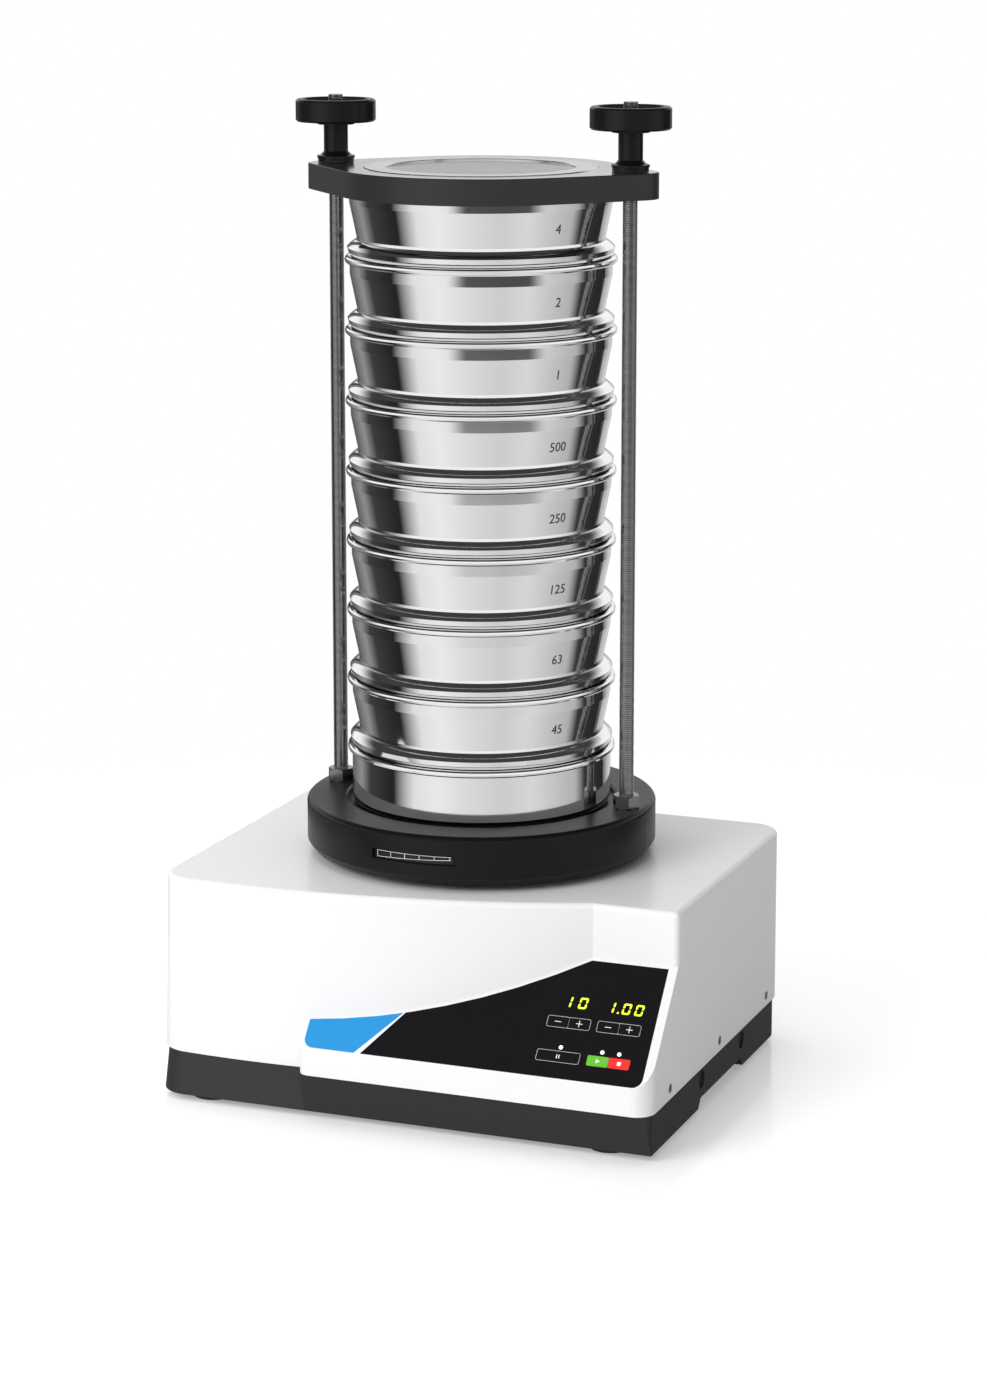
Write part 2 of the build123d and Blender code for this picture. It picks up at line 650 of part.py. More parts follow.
def make_leaf_springs():
    """Three inclined packs of two steel leaves between the counter mass and the carrier."""
    leaves, clamps = [], []
    (x_low, z_low), (x_high, z_high) = leaf_ends()
    tab = 20.0
    for place in arm_places():
        for layer in range(2):
            rise = layer * LEAF_THICKNESS
            face = make_face(
                Polyline(
                    (x_low - tab, z_low + rise),
                    (x_low + tab / 2, z_low + rise),
                    (x_high - tab / 2, z_high - 2 * LEAF_THICKNESS + rise),
                    (x_high + tab, z_high - 2 * LEAF_THICKNESS + rise),
                    (x_high + tab, z_high - LEAF_THICKNESS + rise),
                    (x_high - tab / 2, z_high - LEAF_THICKNESS + rise),
                    (x_low + tab / 2, z_low + LEAF_THICKNESS + rise),
                    (x_low - tab, z_low + LEAF_THICKNESS + rise),
                    close=True,
                )
            )
            leaf = extrude(Plane.XZ * face, LEAF_WIDTH / 2, both=True)
            leaves.append(place * leaf)
        clamp = block(x_low - tab, x_low, -17, 17, z_low + 2 * LEAF_THICKNESS, z_low + 2 * LEAF_THICKNESS + 8)
        clamps.append(place * clamp)
    return leaves, clamps


def make_carrier():
    """Three-armed casting that joins the springs, the armature and the hub."""
    body = STACK * disc(HUB_R + 10, CARRIER_Z, CARRIER_Z + CARRIER_THICKNESS)
    for place in arm_places():
        arm = block(LEAF_RUN / 2 - 12, LEAF_RUN / 2 + 22, -ARM_WIDTH / 2, ARM_WIDTH / 2, CARRIER_Z, CARRIER_Z + 10)
        body = body + place * arm
        spoke = make_face(
            Polyline((-20, -CARRIER_ARM_R + 30), (20, -CARRIER_ARM_R + 30), (LEAF_RUN / 2 + 22, 0), (LEAF_RUN / 2 - 12, 0), close=True)
        )
        body = body + place * extrude(Pos(0, 0, CARRIER_Z) * spoke, 10)
    hub = STACK * disc(HUB_R, CARRIER_Z, PLATE_BOTTOM_Z + PLATE_WEB)
    hub = hub - STACK * disc(HUB_R - 12, CARRIER_Z + 6, PLATE_BOTTOM_Z + PLATE_WEB)
    for x, y in plate_screw_places():
        hub = hub - STACK * Pos(x, y, PLATE_BOTTOM_Z + PLATE_WEB) * Cylinder(4.0, 2 * 14)
    return body + hub


def make_magnet():
    """Laminated E core with its coil on the middle limb, and the armature above it."""
    base_z = MASS_TOP_Z - 30
    half = CORE_LENGTH / 2
    core = block(-half, half, STACK_Y - CORE_STACK / 2, STACK_Y + CORE_STACK / 2, base_z, CORE_TOP_Z)
    window = (CORE_LENGTH - 4 * CORE_LIMB) / 2
    for side in (-1, 1):
        centre = side * (CORE_LIMB + window / 2)
        core = core - block(
            centre - window / 2,
            centre + window / 2,
            STACK_Y - CORE_STACK,
            STACK_Y + CORE_STACK,
            base_z + CORE_BASE,
            CORE_TOP_Z + 1,
        )
    coil_in_x, coil_in_y = CORE_LIMB + COIL_GAP, CORE_STACK / 2 + COIL_GAP
    coil_out = window - 2 * COIL_GAP
    coil = block(
        -coil_in_x - coil_out,
        coil_in_x + coil_out,
        STACK_Y - coil_in_y - coil_out / 2,
        STACK_Y + coil_in_y + coil_out / 2,
        base_z + CORE_BASE + COIL_GAP,
        CORE_TOP_Z - 6,
    )
    coil = fillet(coil.edges().filter_by(Axis.Z), 5)
    coil = coil - block(-coil_in_x, coil_in_x, STACK_Y - coil_in_y, STACK_Y + coil_in_y, base_z, CORE_TOP_Z + 1)
    armature = block(
        -half,
        half,
        STACK_Y - CORE_STACK / 2,
        STACK_Y + CORE_STACK / 2,
        CORE_TOP_Z + AIR_GAP,
        CORE_TOP_Z + AIR_GAP + ARMATURE_HEIGHT,
    )
    stem = STACK * disc(16, CORE_TOP_Z + AIR_GAP + ARMATURE_HEIGHT, CARRIER_Z)
    return core, coil, armature + stem


def make_bellows():
    """Rubber ring of one fold, closing the gap between the housing and the plate."""
    low, high = SHELL_TOP_Z - SHELL_WALL, PLATE_BOTTOM_Z - FIT_GAP
    inner, outer = HUB_R + FIT_GAP, HUB_OPENING_R
    wall = 1.6
    face = make_face(
        Polyline(
            (outer, low),
            (outer, low + SHELL_WALL),
            (outer - 8, low + SHELL_WALL),
            (outer - 13, high),
            (inner, high),
            (inner, high - wall),
            (outer - 14, high - wall),
            (outer - 9, low + wall),
            (outer - 4, low),
            close=True,
        )
    )
    return STACK * revolved(Plane.XZ * face)


def make_sieve_plate():
    r, e, b, t = PLATE_R, PLATE_EDGE_IN, PLATE_BOTTOM_Z, PLATE_TOP_Z
    profile = Polyline((0, b), (r - e, b), (r, b + PLATE_EDGE), (r, t - PLATE_EDGE))
    profile += ThreePointArc((r, t - PLATE_EDGE), (r - 0.9, t - 1.5), (r - e, t))
    profile += Polyline((r - e, t), (SEAT_R + 1.5, t), (SEAT_R, t - 1.5), (SEAT_R, SEAT_Z), (0, SEAT_Z), (0, b))
    body = revolved(Plane.XZ * make_face(profile))
    body = body - disc(HUB_R + FIT_GAP, b - 1, b + PLATE_WEB)
    slot_face = make_face(
        Polyline(
            (r - SLOT_DEPTH, SLOT_LOW_Z), (r + 5, SLOT_LOW_Z), (r + 5, SLOT_HIGH_Z), (r - SLOT_DEPTH, SLOT_HIGH_Z), close=True
        )
    )
    slot = revolved(Plane.XZ * slot_face, SLOT_TO_DEG - SLOT_FROM_DEG)
    body = body - Rot(0, 0, SLOT_FROM_DEG - 90) * slot
    for side in (-1, 1):
        body = body - Pos(side * ROD_X, 0, b) * Cylinder(ROD_R, 200)
    for x, y in plate_screw_places():
        body = body - Pos(x, y, b) * Cylinder(4.0, 200)
        body = body - Pos(x, y, SEAT_Z) * Cylinder(7.5, 2 * 9.0)
    return STACK * body


def plate_screw_places():
    radius = HUB_R - 6
    return [(radius * math.cos(a), radius * math.sin(a)) for a in (math.pi / 2 + k * 2 * math.pi / 3 for k in range(3))]


def make_plate_screws():
    screws = []
    for x, y in plate_screw_places():
        head = Pos(x, y, SEAT_Z - 9.0) * Cylinder(6.5, 8.0, align=BOTTOM)
        head = head - Pos(x, y, SEAT_Z - 5.0) * extrude(RegularPolygon(3.5, 6), 5)
        shank = Pos(x, y, PLATE_BOTTOM_Z + PLATE_WEB - 12) * Cylinder(3.9, SEAT_Z - 9 - PLATE_BOTTOM_Z - PLATE_WEB + 12, align=BOTTOM)
        screws.append(STACK * (head + shank))
    return screws


def make_wedge_label():
    """Thin printed strip in the slot of the plate, on which the swing is read."""
    low, high = SLOT_LOW_Z + 0.8, SLOT_HIGH_Z - 0.8
    inner = PLATE_R - SLOT_DEPTH
    face = make_face(Polyline((inner, low), (inner + 0.3, low), (inner + 0.3, high), (inner, high), close=True))
    span = SLOT_TO_DEG - SLOT_FROM_DEG - 2.0
    strip = revolved(Plane.XZ * face, span)
    return STACK * Rot(0, 0, SLOT_FROM_DEG + 1.0 - 90) * strip


def make_rods():
    rods, nuts = [], []
    for side in (-1, 1):
        place = STACK * Pos(side * ROD_X, 0, 0)
        rod = disc(ROD_R, PLATE_BOTTOM_Z + 1, ROD_TOP_Z)
        rod = chamfer(rod.edges().group_by(Axis.Z)[-1], 1.2)
        rods.append(place * rod)
        nut = extrude(Pos(0, 0, PLATE_TOP_Z) * RegularPolygon(NUT_FLATS / 2, 6, major_radius=False), NUT_HEIGHT)
        crown = revolved(
            Plane.XZ
            * make_face(
                Polyline(
                    (0, PLATE_TOP_Z), (NUT_FLATS / 2, PLATE_TOP_Z), (NUT_FLATS / 2 + 2, PLATE_TOP_Z + 1.1),
                    (NUT_FLATS / 2 + 2, PLATE_TOP_Z + NUT_HEIGHT - 1.1), (NUT_FLATS / 2, PLATE_TOP_Z + NUT_HEIGHT),
                    (0, PLATE_TOP_Z + NUT_HEIGHT), close=True,
                )
            )
        )
        nut = (nut & crown) - disc(ROD_R + THREAD_CLEARANCE, PLATE_TOP_Z - 1, PLATE_TOP_Z + NUT_HEIGHT + 1)
        nuts.append(place * nut)
    return rods, nuts


def bead_face(z):
    """Section of the rolled rim, with few sides because it repeats on every sieve."""
    return Pos(BEAD_R - BEAD_WIRE_R, z) * RegularPolygon(BEAD_WIRE_R, BEAD_SIDES)


def make_pan():
    top = FIRST_JOINT_Z - BEAD_BELOW_JOINT
    r, c = PAN_WALL_R, PAN_CORNER_R
    path = Line((r, top), (r, SEAT_Z + c))
    path += ThreePointArc((r, SEAT_Z + c), (r - c * (1 - math.sqrt(0.5)), SEAT_Z + c * (1 - math.sqrt(0.5))), (r - c, SEAT_Z))
    path += Line((r - c, SEAT_Z), (0, SEAT_Z))
    path += Line((0, SEAT_Z), (0, SEAT_Z + SHEET))
    inner = r - SHEET
    ci = c - SHEET
    path += Line((0, SEAT_Z + SHEET), (inner - ci, SEAT_Z + SHEET))
    path += ThreePointArc(
        (inner - ci, SEAT_Z + SHEET), (inner - ci * (1 - math.sqrt(0.5)), SEAT_Z + SHEET + ci * (1 - math.sqrt(0.5))), (inner, SEAT_Z + c)
    )
    path += Line((inner, SEAT_Z + c), (inner, top))
    path += Line((inner, top), (r, top))
    face = make_face(path) + bead_face(top)
    return STACK * revolved(Plane.XZ * face)


def make_sieve(joint_z):
    """Spun sheet frame: rolled rim, straight band, cone, neck, shoulder ring and skirt."""
    top = SIEVE_PITCH - BEAD_BELOW_JOINT
    band_low = SIEVE_PITCH - BAND_BOTTOM_BELOW_TOP
    outer = Polyline((BAND_R, top), (BAND_R, band_low), (NECK_R, NECK_ABOVE_JOINT), (NECK_R + 0.4, SHOULDER_TOP + 1.2))
    outer += ThreePointArc((NECK_R + 0.4, SHOULDER_TOP + 1.2), (SHOULDER_R - 3.4, SHOULDER_TOP - 0.9), (SHOULDER_R, SHOULDER_MID))
    outer += Line((SHOULDER_R, SHOULDER_MID), (SHOULDER_R - 1.0, 1.3))
    outer += Polyline((SHOULDER_R - 1.0, 1.3), (SKIRT_R, -SKIRT_SEAT), (SKIRT_R, -SKIRT_LENGTH))
    skirt_in = SKIRT_R - SHEET
    outer += Polyline((SKIRT_R, -SKIRT_LENGTH), (skirt_in, -SKIRT_LENGTH), (skirt_in, SHOULDER_TOP - 1.5))
    outer += Polyline(
        (skirt_in, SHOULDER_TOP - 1.5),
        (NECK_R - SHEET, SHOULDER_TOP - 1.5),
        (NECK_R - SHEET, NECK_ABOVE_JOINT),
        (BAND_R - SHEET, band_low),
        (BAND_R - SHEET, top),
        (BAND_R, top),
    )
    face = make_face(outer) + bead_face(top)
    frame = revolved(Plane.XZ * face)
    mesh = disc(NECK_R - SHEET, MESH_ABOVE_JOINT, MESH_ABOVE_JOINT + MESH_THICKNESS)
    place = STACK * Pos(0, 0, joint_z)
    return place * frame, place * mesh


def lid_outline():
    """Disc with two ears, joined by straight tangents."""
    turn = math.acos((LID_DISC_R - LID_EAR_R) / ROD_X)
    cx, sy = math.cos(turn), math.sin(turn)

    def on_disc(sign_x, sign_y):
        return (sign_x * LID_DISC_R * cx, sign_y * LID_DISC_R * sy)

    def on_ear(sign_x, sign_y):
        return (sign_x * (ROD_X + LID_EAR_R * cx), sign_y * LID_EAR_R * sy)

    path = ThreePointArc(on_disc(-1, -1), (0, -LID_DISC_R), on_disc(1, -1))
    path += Line(on_disc(1, -1), on_ear(1, -1))
    path += ThreePointArc(on_ear(1, -1), (ROD_X + LID_EAR_R, 0), on_ear(1, 1))
    path += Line(on_ear(1, 1), on_disc(1, 1))
    path += ThreePointArc(on_disc(1, 1), (0, LID_DISC_R), on_disc(-1, 1))
    path += Line(on_disc(-1, 1), on_ear(-1, 1))
    path += ThreePointArc(on_ear(-1, 1), (-ROD_X - LID_EAR_R, 0), on_ear(-1, -1))
    path += Line(on_ear(-1, -1), on_disc(-1, -1))
    return make_face(path)


def make_lid():
    body = extrude(Pos(0, 0, LID_BOTTOM_Z) * lid_outline(), LID_TOP_Z - LID_BOTTOM_Z)
    body = chamfer(body.edges().group_by(Axis.Z)[-1], 0.6)
    body = body - disc(LID_RECESS_R, LID_BOTTOM_Z - 1, LID_BOTTOM_Z + LID_RECESS_DEPTH)
    ring_low = LID_TOP_Z + RING_PROUD - RING_THICKNESS
    window_low = ring_low - WINDOW_FLANGE
    body = body - disc(RING_R + FIT_GAP, window_low, LID_TOP_Z + 1)
    body = body - disc(RING_BORE_R, LID_BOTTOM_Z, LID_TOP_Z)
    for side in (-1, 1):
        body = body - Pos(side * ROD_X, 0, LID_BOTTOM_Z) * Cylinder(LID_HOLE_R, 100)
    clamp_ring = ring(RING_R, RING_BORE_R, ring_low, LID_TOP_Z + RING_PROUD)
    clamp_ring = chamfer(clamp_ring.edges().group_by(Axis.Z)[-1], 0.4)
    window = disc(WINDOW_R, window_low, ring_low)
    window = window + disc(RING_BORE_R - FIT_GAP, ring_low, LID_TOP_Z + RING_PROUD - WINDOW_BELOW_RING)
    return STACK * body, STACK * clamp_ring, STACK * window


def make_clamp(side):
    """Knob, threaded sleeve and loose thrust washer on one rod."""
    place = STACK * Pos(side * ROD_X, 0, 0)
    washer_low = LID_TOP_Z + FIT_GAP
    washer_high = washer_low + WASHER_HEIGHT
    washer = ring(WASHER_R, LID_HOLE_R, washer_low, washer_high)
    sleeve_low = washer_high + 0.1
    cone_low = sleeve_low + SLEEVE_FLANGE_HEIGHT
    bore = ROD_R + THREAD_CLEARANCE
    profile = Polyline(
        (bore, sleeve_low),
        (SLEEVE_FLANGE_R, sleeve_low),
        (SLEEVE_FLANGE_R, cone_low),
        (SLEEVE_CONE_R, cone_low + 0.5),
        (SLEEVE_R, cone_low + SLEEVE_CONE_HEIGHT),
        (SLEEVE_R, KNOB_BOTTOM_Z - 2.2),
        (SLEEVE_COLLAR_R, KNOB_BOTTOM_Z - 2.2),
        (SLEEVE_COLLAR_R, KNOB_BOTTOM_Z),
        (SLEEVE_R, KNOB_BOTTOM_Z),
        (SLEEVE_R, KNOB_TOP_Z - KNOB_CUP_DEPTH + 3),
        (bore, KNOB_TOP_Z - KNOB_CUP_DEPTH + 3),
        close=True,
    )
    sleeve = revolved(Plane.XZ * make_face(profile))
    r = KNOB_EDGE
    cup = KNOB_TOP_Z - KNOB_CUP_DEPTH
    knob_profile = Polyline(
        (SLEEVE_R, KNOB_BOTTOM_Z),
        (KNOB_R - r, KNOB_BOTTOM_Z),
        (KNOB_R, KNOB_BOTTOM_Z + r),
        (KNOB_R, KNOB_TOP_Z - r),
        (KNOB_R - r, KNOB_TOP_Z),
        (KNOB_CUP_R + 1, KNOB_TOP_Z),
        (KNOB_CUP_R, KNOB_TOP_Z - 1),
        (KNOB_CUP_R - 1.5, cup),
        (KNOB_HUB_R + 3, cup),
        (KNOB_HUB_R + 2, cup + 4),
        (SLEEVE_R, cup + 4),
        close=True,
    )
    knob = revolved(Plane.XZ * make_face(knob_profile))
    return place * knob, place * sleeve, place * washer


def make_keys():
    keys = {}
    for name, (x, s, width) in key_places().items():
        size = (width - 2 * KEY_GAP, KEY_HEIGHT - 2 * KEY_GAP)
        keys[name] = panel_box(x, s, *size, KEY_PROUD - KEY_THICKNESS, KEY_PROUD, 1.0)
    return keys


def make_control_board():
    """Board behind the panel with a switch pillar under each key, and what it carries."""
    xs = [x for x, _ in board_screws()]
    ss = [s for _, s in board_screws()]
    low = -BOARD_DEPTH - BOARD_THICKNESS
    x_mid, s_mid = (min(xs) + max(xs)) / 2, (min(ss) + max(ss)) / 2
    board = panel_box(x_mid, s_mid, max(xs) - min(xs) + 10, max(ss) - min(ss) + 10, low, -BOARD_DEPTH, 2.0)
    under_key = KEY_PROUD - KEY_THICKNESS - KEY_TRAVEL_ROOM
    for x, s, _ in key_places().values():
        board = board + panel_box(x, s, 6, 6, -BOARD_DEPTH, under_key - 1.5)
        board = board + panel_round(x, s, 1.7, under_key - 1.5, under_key)
    displays = []
    for x, width in display_places():
        size = (width - 2 * FIT_GAP, DISPLAY_HEIGHT - 2 * FIT_GAP)
        displays.append(panel_box(x, DISPLAY_S, *size, -BOARD_DEPTH, -FASCIA_DEPTH))
    lamps = [panel_round(x, LED_S, LED_R, -BOARD_DEPTH, 0.1) for x in LED_XS]
    return board, displays, lamps


def make_power_board():
    """Driver board for the magnet, standing on edge in front of the counter mass."""
    x, floor = DRIVER_X, FOOT_HEIGHT + TRAY_FLOOR
    y = STACK_Y - MASS_DEPTH / 2 - DRIVER_CLEAR
    half = DRIVER_LENGTH / 2
    board = block(x - half, x + half, y - BOARD_THICKNESS, y, floor, floor + DRIVER_HEIGHT)
    for side in (-1, 1):
        edge = x + side * (half - 8)
        board = board + block(edge - 6, edge + 6, y, y + 8, floor, floor + 2)
        board = board + block(edge - 6, edge + 6, y, y + 2, floor, floor + 14)
    front = y - BOARD_THICKNESS
    sink = block(x - half + 6, x + 4, front - 4, front, floor + 30, floor + 74)
    for index in range(FIN_COUNT):
        fin_z = floor + 30 + index * (44 - 1.5) / (FIN_COUNT - 1)
        sink = sink + block(x - half + 6, x + 4, front - 22, front, fin_z, fin_z + 1.5)
    choke_ring = Cylinder(13, 12, align=BOTTOM) - Cylinder(6, 12, align=BOTTOM)
    choke = Pos(x + half - 19, front, floor + 52) * Rot(90, 0, 0) * choke_ring
    terminals = block(x - 20, x + 20, front - 9, front, floor + 8, floor + 18)
    return board + sink + choke + terminals


def make_entry():
    """Mains inlet with its fuse drawer, and the frame of the rocker switch."""
    x, z = ENTRY_X, ENTRY_Z
    half_w, half_h = ENTRY_WIDTH / 2, ENTRY_HEIGHT / 2
    flange = block(
        x - half_w - ENTRY_FLANGE, x + half_w + ENTRY_FLANGE,
        BACK_Y - ENTRY_FLANGE_THICKNESS, BACK_Y,
        z - half_h - ENTRY_FLANGE, z + half_h + ENTRY_FLANGE,
    )
    body = flange + block(x - half_w, x + half_w, BACK_Y - ENTRY_DEPTH, BACK_Y, z - half_h, z + half_h)
    inlet_z = z - INLET_BELOW
    half_inlet = INLET_WIDTH / 2
    socket = block(
        x - half_inlet, x + half_inlet, BACK_Y - 17, BACK_Y + 1, inlet_z - INLET_HEIGHT / 2, inlet_z + INLET_HEIGHT / 2
    )
    body = body - chamfer(socket.edges().filter_by(Axis.Y).group_by(Axis.Z)[-1], 4)
    # Three flat blades stand in the open recess, the middle one higher.
    for dx, dz in ((-7, -2), (7, -2), (0, 4)):
        body = body + block(x + dx - 1, x + dx + 1, BACK_Y - 18, BACK_Y - 2, inlet_z + dz - 2, inlet_z + dz + 2)
    fuse_z = z + FUSE_ABOVE
    drawer = Rectangle(22, 9) - Rectangle(20.8, 7.8) + Pos(0, -3) * Rectangle(7, 1.6)
    body = body - extrude(Plane.XZ.offset(-BACK_Y) * (Pos(x, fuse_z) * drawer), 0.7)
    rocker_z = z + ROCKER_ABOVE
    body = body - block(
        x - ROCKER_WIDTH / 2,
        x + ROCKER_WIDTH / 2,
        BACK_Y - 14,
        BACK_Y + 1,
        rocker_z - ROCKER_HEIGHT / 2,
        rocker_z + ROCKER_HEIGHT / 2,
    )
    pivot = (x, BACK_Y - 7, rocker_z)
    tilt = math.radians(ROCKER_TILT)
    half, depth = ROCKER_HEIGHT / 2 - 0.9, 6.2
    pts = [
        (-half, -depth + 2.0), (0, -depth + 1.0), (half, -depth + 2.0),
        (half * 0.98, depth - 1.2), (0, depth - 2.6), (-half * 0.98, depth - 1.2),
    ]
    turned = [(a * math.cos(tilt) - b * math.sin(tilt), a * math.sin(tilt) + b * math.cos(tilt)) for a, b in pts]
    face = make_face(Polyline(*[(pivot[1] + b, pivot[2] + a) for a, b in turned], close=True))
    width = ROCKER_WIDTH / 2 - 0.4
    rocker = extrude(Plane.YZ.offset(x) * face, width, both=True)
    axle = Pos(*pivot) * Rot(0, 90, 0)
    rocker = rocker + axle * Cylinder(1.5, ROCKER_WIDTH + 3)
    body = body - axle * Cylinder(1.55, ROCKER_WIDTH + 3.2)
    return body, rocker


def main():
    black, blue = fascia_parts()
    keys = make_keys()
    board, displays, lamps = make_control_board()
    save("upper_shell", make_upper_shell((black, blue)))
    for x, s, width in key_places().values():
        black = black - panel_box(x, s, width, KEY_HEIGHT, -3, 3, 1.0 + KEY_GAP)
    for x in LED_XS:
        black = black - panel_round(x, LED_S, LED_R + 0.05, -3, 3)
    save("panel_fascia", black, blue)
    for name, key in keys.items():
        save(f"{name}_key", key)
    save("control_board", board)
    save("display_modules", *displays)
    save("status_lamps", *lamps)
    save("base_tray", make_base_tray())
    save("locating_strips", make_locating_strips())
    feet, foot_screws = make_feet()
    save("rubber_feet", *feet)
    save("foot_screws", *foot_screws)
    save("shell_screws", *make_side_screws())
    save("counter_mass", make_counter_mass())
    bolts = []
    for x, y in mass_bolt_places():
        head = Pos(x, y, FOOT_HEIGHT) * Cylinder(6.5, 4.0, align=BOTTOM)
        bolts.append(head + Pos(x, y, FOOT_HEIGHT) * Cylinder(4.0, 40, align=BOTTOM))
    save("mass_bolts", *bolts)
    core, coil, armature = make_magnet()
    save("magnet_core", core)
    save("magnet_coil", coil)
    save("armature", armature)
    leaves, clamps = make_leaf_springs()
    save("leaf_springs", *leaves)
    save("spring_clamps", *clamps)
    save("spring_carrier", make_carrier())
    save("drive_bellows", make_bellows())
    save("power_board", make_power_board())
    entry, rocker = make_entry()
    save("mains_entry", entry)
    save("power_rocker", rocker)
    save("sieve_plate", make_sieve_plate())
    save("plate_screws", *make_plate_screws())
    save("amplitude_wedge", make_wedge_label())
    rods, nuts = make_rods()
    save("clamping_rods", *rods)
    save("rod_nuts", *nuts)
    save("collecting_pan", make_pan())
    for index in range(SIEVE_COUNT):
        frame, mesh = make_sieve(FIRST_JOINT_Z + index * SIEVE_PITCH)
        save(f"sieve_{index + 1}_frame", frame)
        save(f"sieve_{index + 1}_mesh", mesh)
    lid, clamp_ring, window = make_lid()
    save("clamping_lid", lid)
    save("lid_ring", clamp_ring)
    save("lid_window", window)
    for name, side in (("left", -1), ("right", 1)):
        knob, sleeve, washer = make_clamp(side)
        save(f"{name}_knob", knob)
        save(f"{name}_sleeve", sleeve)
        save(f"{name}_thrust_washer", washer)


BOTTOM = (Align.CENTER, Align.CENTER, Align.MIN)
main()
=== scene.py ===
import math

import bpy
from bpy.props import FloatProperty, FloatVectorProperty, IntProperty, PointerProperty
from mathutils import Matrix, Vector


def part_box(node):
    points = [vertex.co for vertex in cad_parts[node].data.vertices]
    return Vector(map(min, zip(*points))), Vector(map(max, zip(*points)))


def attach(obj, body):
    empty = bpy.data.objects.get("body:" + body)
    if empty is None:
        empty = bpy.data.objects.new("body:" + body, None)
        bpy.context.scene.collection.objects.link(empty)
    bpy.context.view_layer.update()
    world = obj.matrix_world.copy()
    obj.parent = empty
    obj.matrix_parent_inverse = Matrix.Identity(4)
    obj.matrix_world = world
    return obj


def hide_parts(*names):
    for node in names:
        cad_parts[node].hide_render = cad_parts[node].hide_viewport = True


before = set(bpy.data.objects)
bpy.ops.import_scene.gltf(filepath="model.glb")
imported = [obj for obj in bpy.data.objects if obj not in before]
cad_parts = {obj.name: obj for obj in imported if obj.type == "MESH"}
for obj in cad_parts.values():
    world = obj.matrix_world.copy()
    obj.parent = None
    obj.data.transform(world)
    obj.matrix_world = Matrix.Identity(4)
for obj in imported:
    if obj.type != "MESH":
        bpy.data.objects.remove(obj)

bl_info = {
    "name": "Sieve Shaker Looks",
    "version": (1, 0, 0),
    "blender": (4, 5, 0),
    "location": "View3D > Sidebar > Sieve Shaker",
    "description": "Finishes, printed marks, threads, woven meshes and a studio for a sieve shaker",
    "category": "Object",
}

MM = 0.001
STACK_Y = 20.5
PANEL_TOP_Y = -104.5
PANEL_TOP_Z = 136.8
PANEL_SLOPE = 66.0 / 76.8
SLOPE_LENGTH = math.hypot(1.0, PANEL_SLOPE)
PANEL_SPLIT_X = 51.4
PANEL_SPLIT_SLOPE = 1.0465
ROD_X = 122.6
LID_TOP_Z = 723.3
JOINT_Z = 268.4
SIEVE_PITCH = 55.5
SIEVE_NUMBERS = ("45", "63", "125", "250", "500", "1", "2", "4")
NUMBER_ANGLE = 57.5
NUMBER_RISE = 25.5
WALL_FOOT_R = 96.9
WALL_FOOT_RISE = 12.7
WALL_FLARE = 5.6
WALL_HEIGHT = 27.1
MESH_R = 95.9
MESH_Z = 10.8
WOVEN = {6: (1.56, 0.56), 7: (2.9, 0.9), 8: (5.4, 1.4)}
KEY_SYMBOLS = {
    "time_minus": (125.2, 54.9, "minus"),
    "time_plus": (142.2, 54.9, "plus"),
    "amplitude_minus": (165.2, 54.9, "minus"),
    "amplitude_plus": (182.2, 54.9, "plus"),
    "pause": (131.7, 82.8, "pause"),
    "start": (163.3, 82.8, "start"),
    "stop": (180.3, 82.8, "stop"),
}
KEY_BOX_HEIGHT = 8.6
KEY_BOX_CORNER = 1.6
KEY_BOX_WIDTH = 34.0
KEY_BOXES = ((133.7, 54.9), (173.7, 54.9), (131.7, 82.8))
KEY_PAIR_XS = (133.7, 173.7)
# Each lit digit: the digit, its left end, its top, its width and its height.
DIGITS = (
    ("1", 125.6, 33.4, 6.2, 9.2),
    ("0", 137.6, 33.4, 6.6, 9.2),
    ("1", 160.0, 34.0, 6.2, 9.0),
    ("0", 172.6, 34.0, 6.4, 9.0),
    ("0", 182.6, 34.0, 6.4, 9.0),
)
POINT = ((169.4, 41.6), (170.8, 41.6), (170.6, 43.0), (169.2, 43.0))
PRINT_BASE = 0.00002
KEY_TOP = 0.00026
SCALE_R = 137.31
SCALE_THICKNESS = 0.06
SCALE_ANGLES = (-14.4, 11.6)
SCALE_STEP = 5.1
SCALE_LOW, SCALE_MIDDLE, SCALE_HIGH = 201.5, 204.1, 206.8
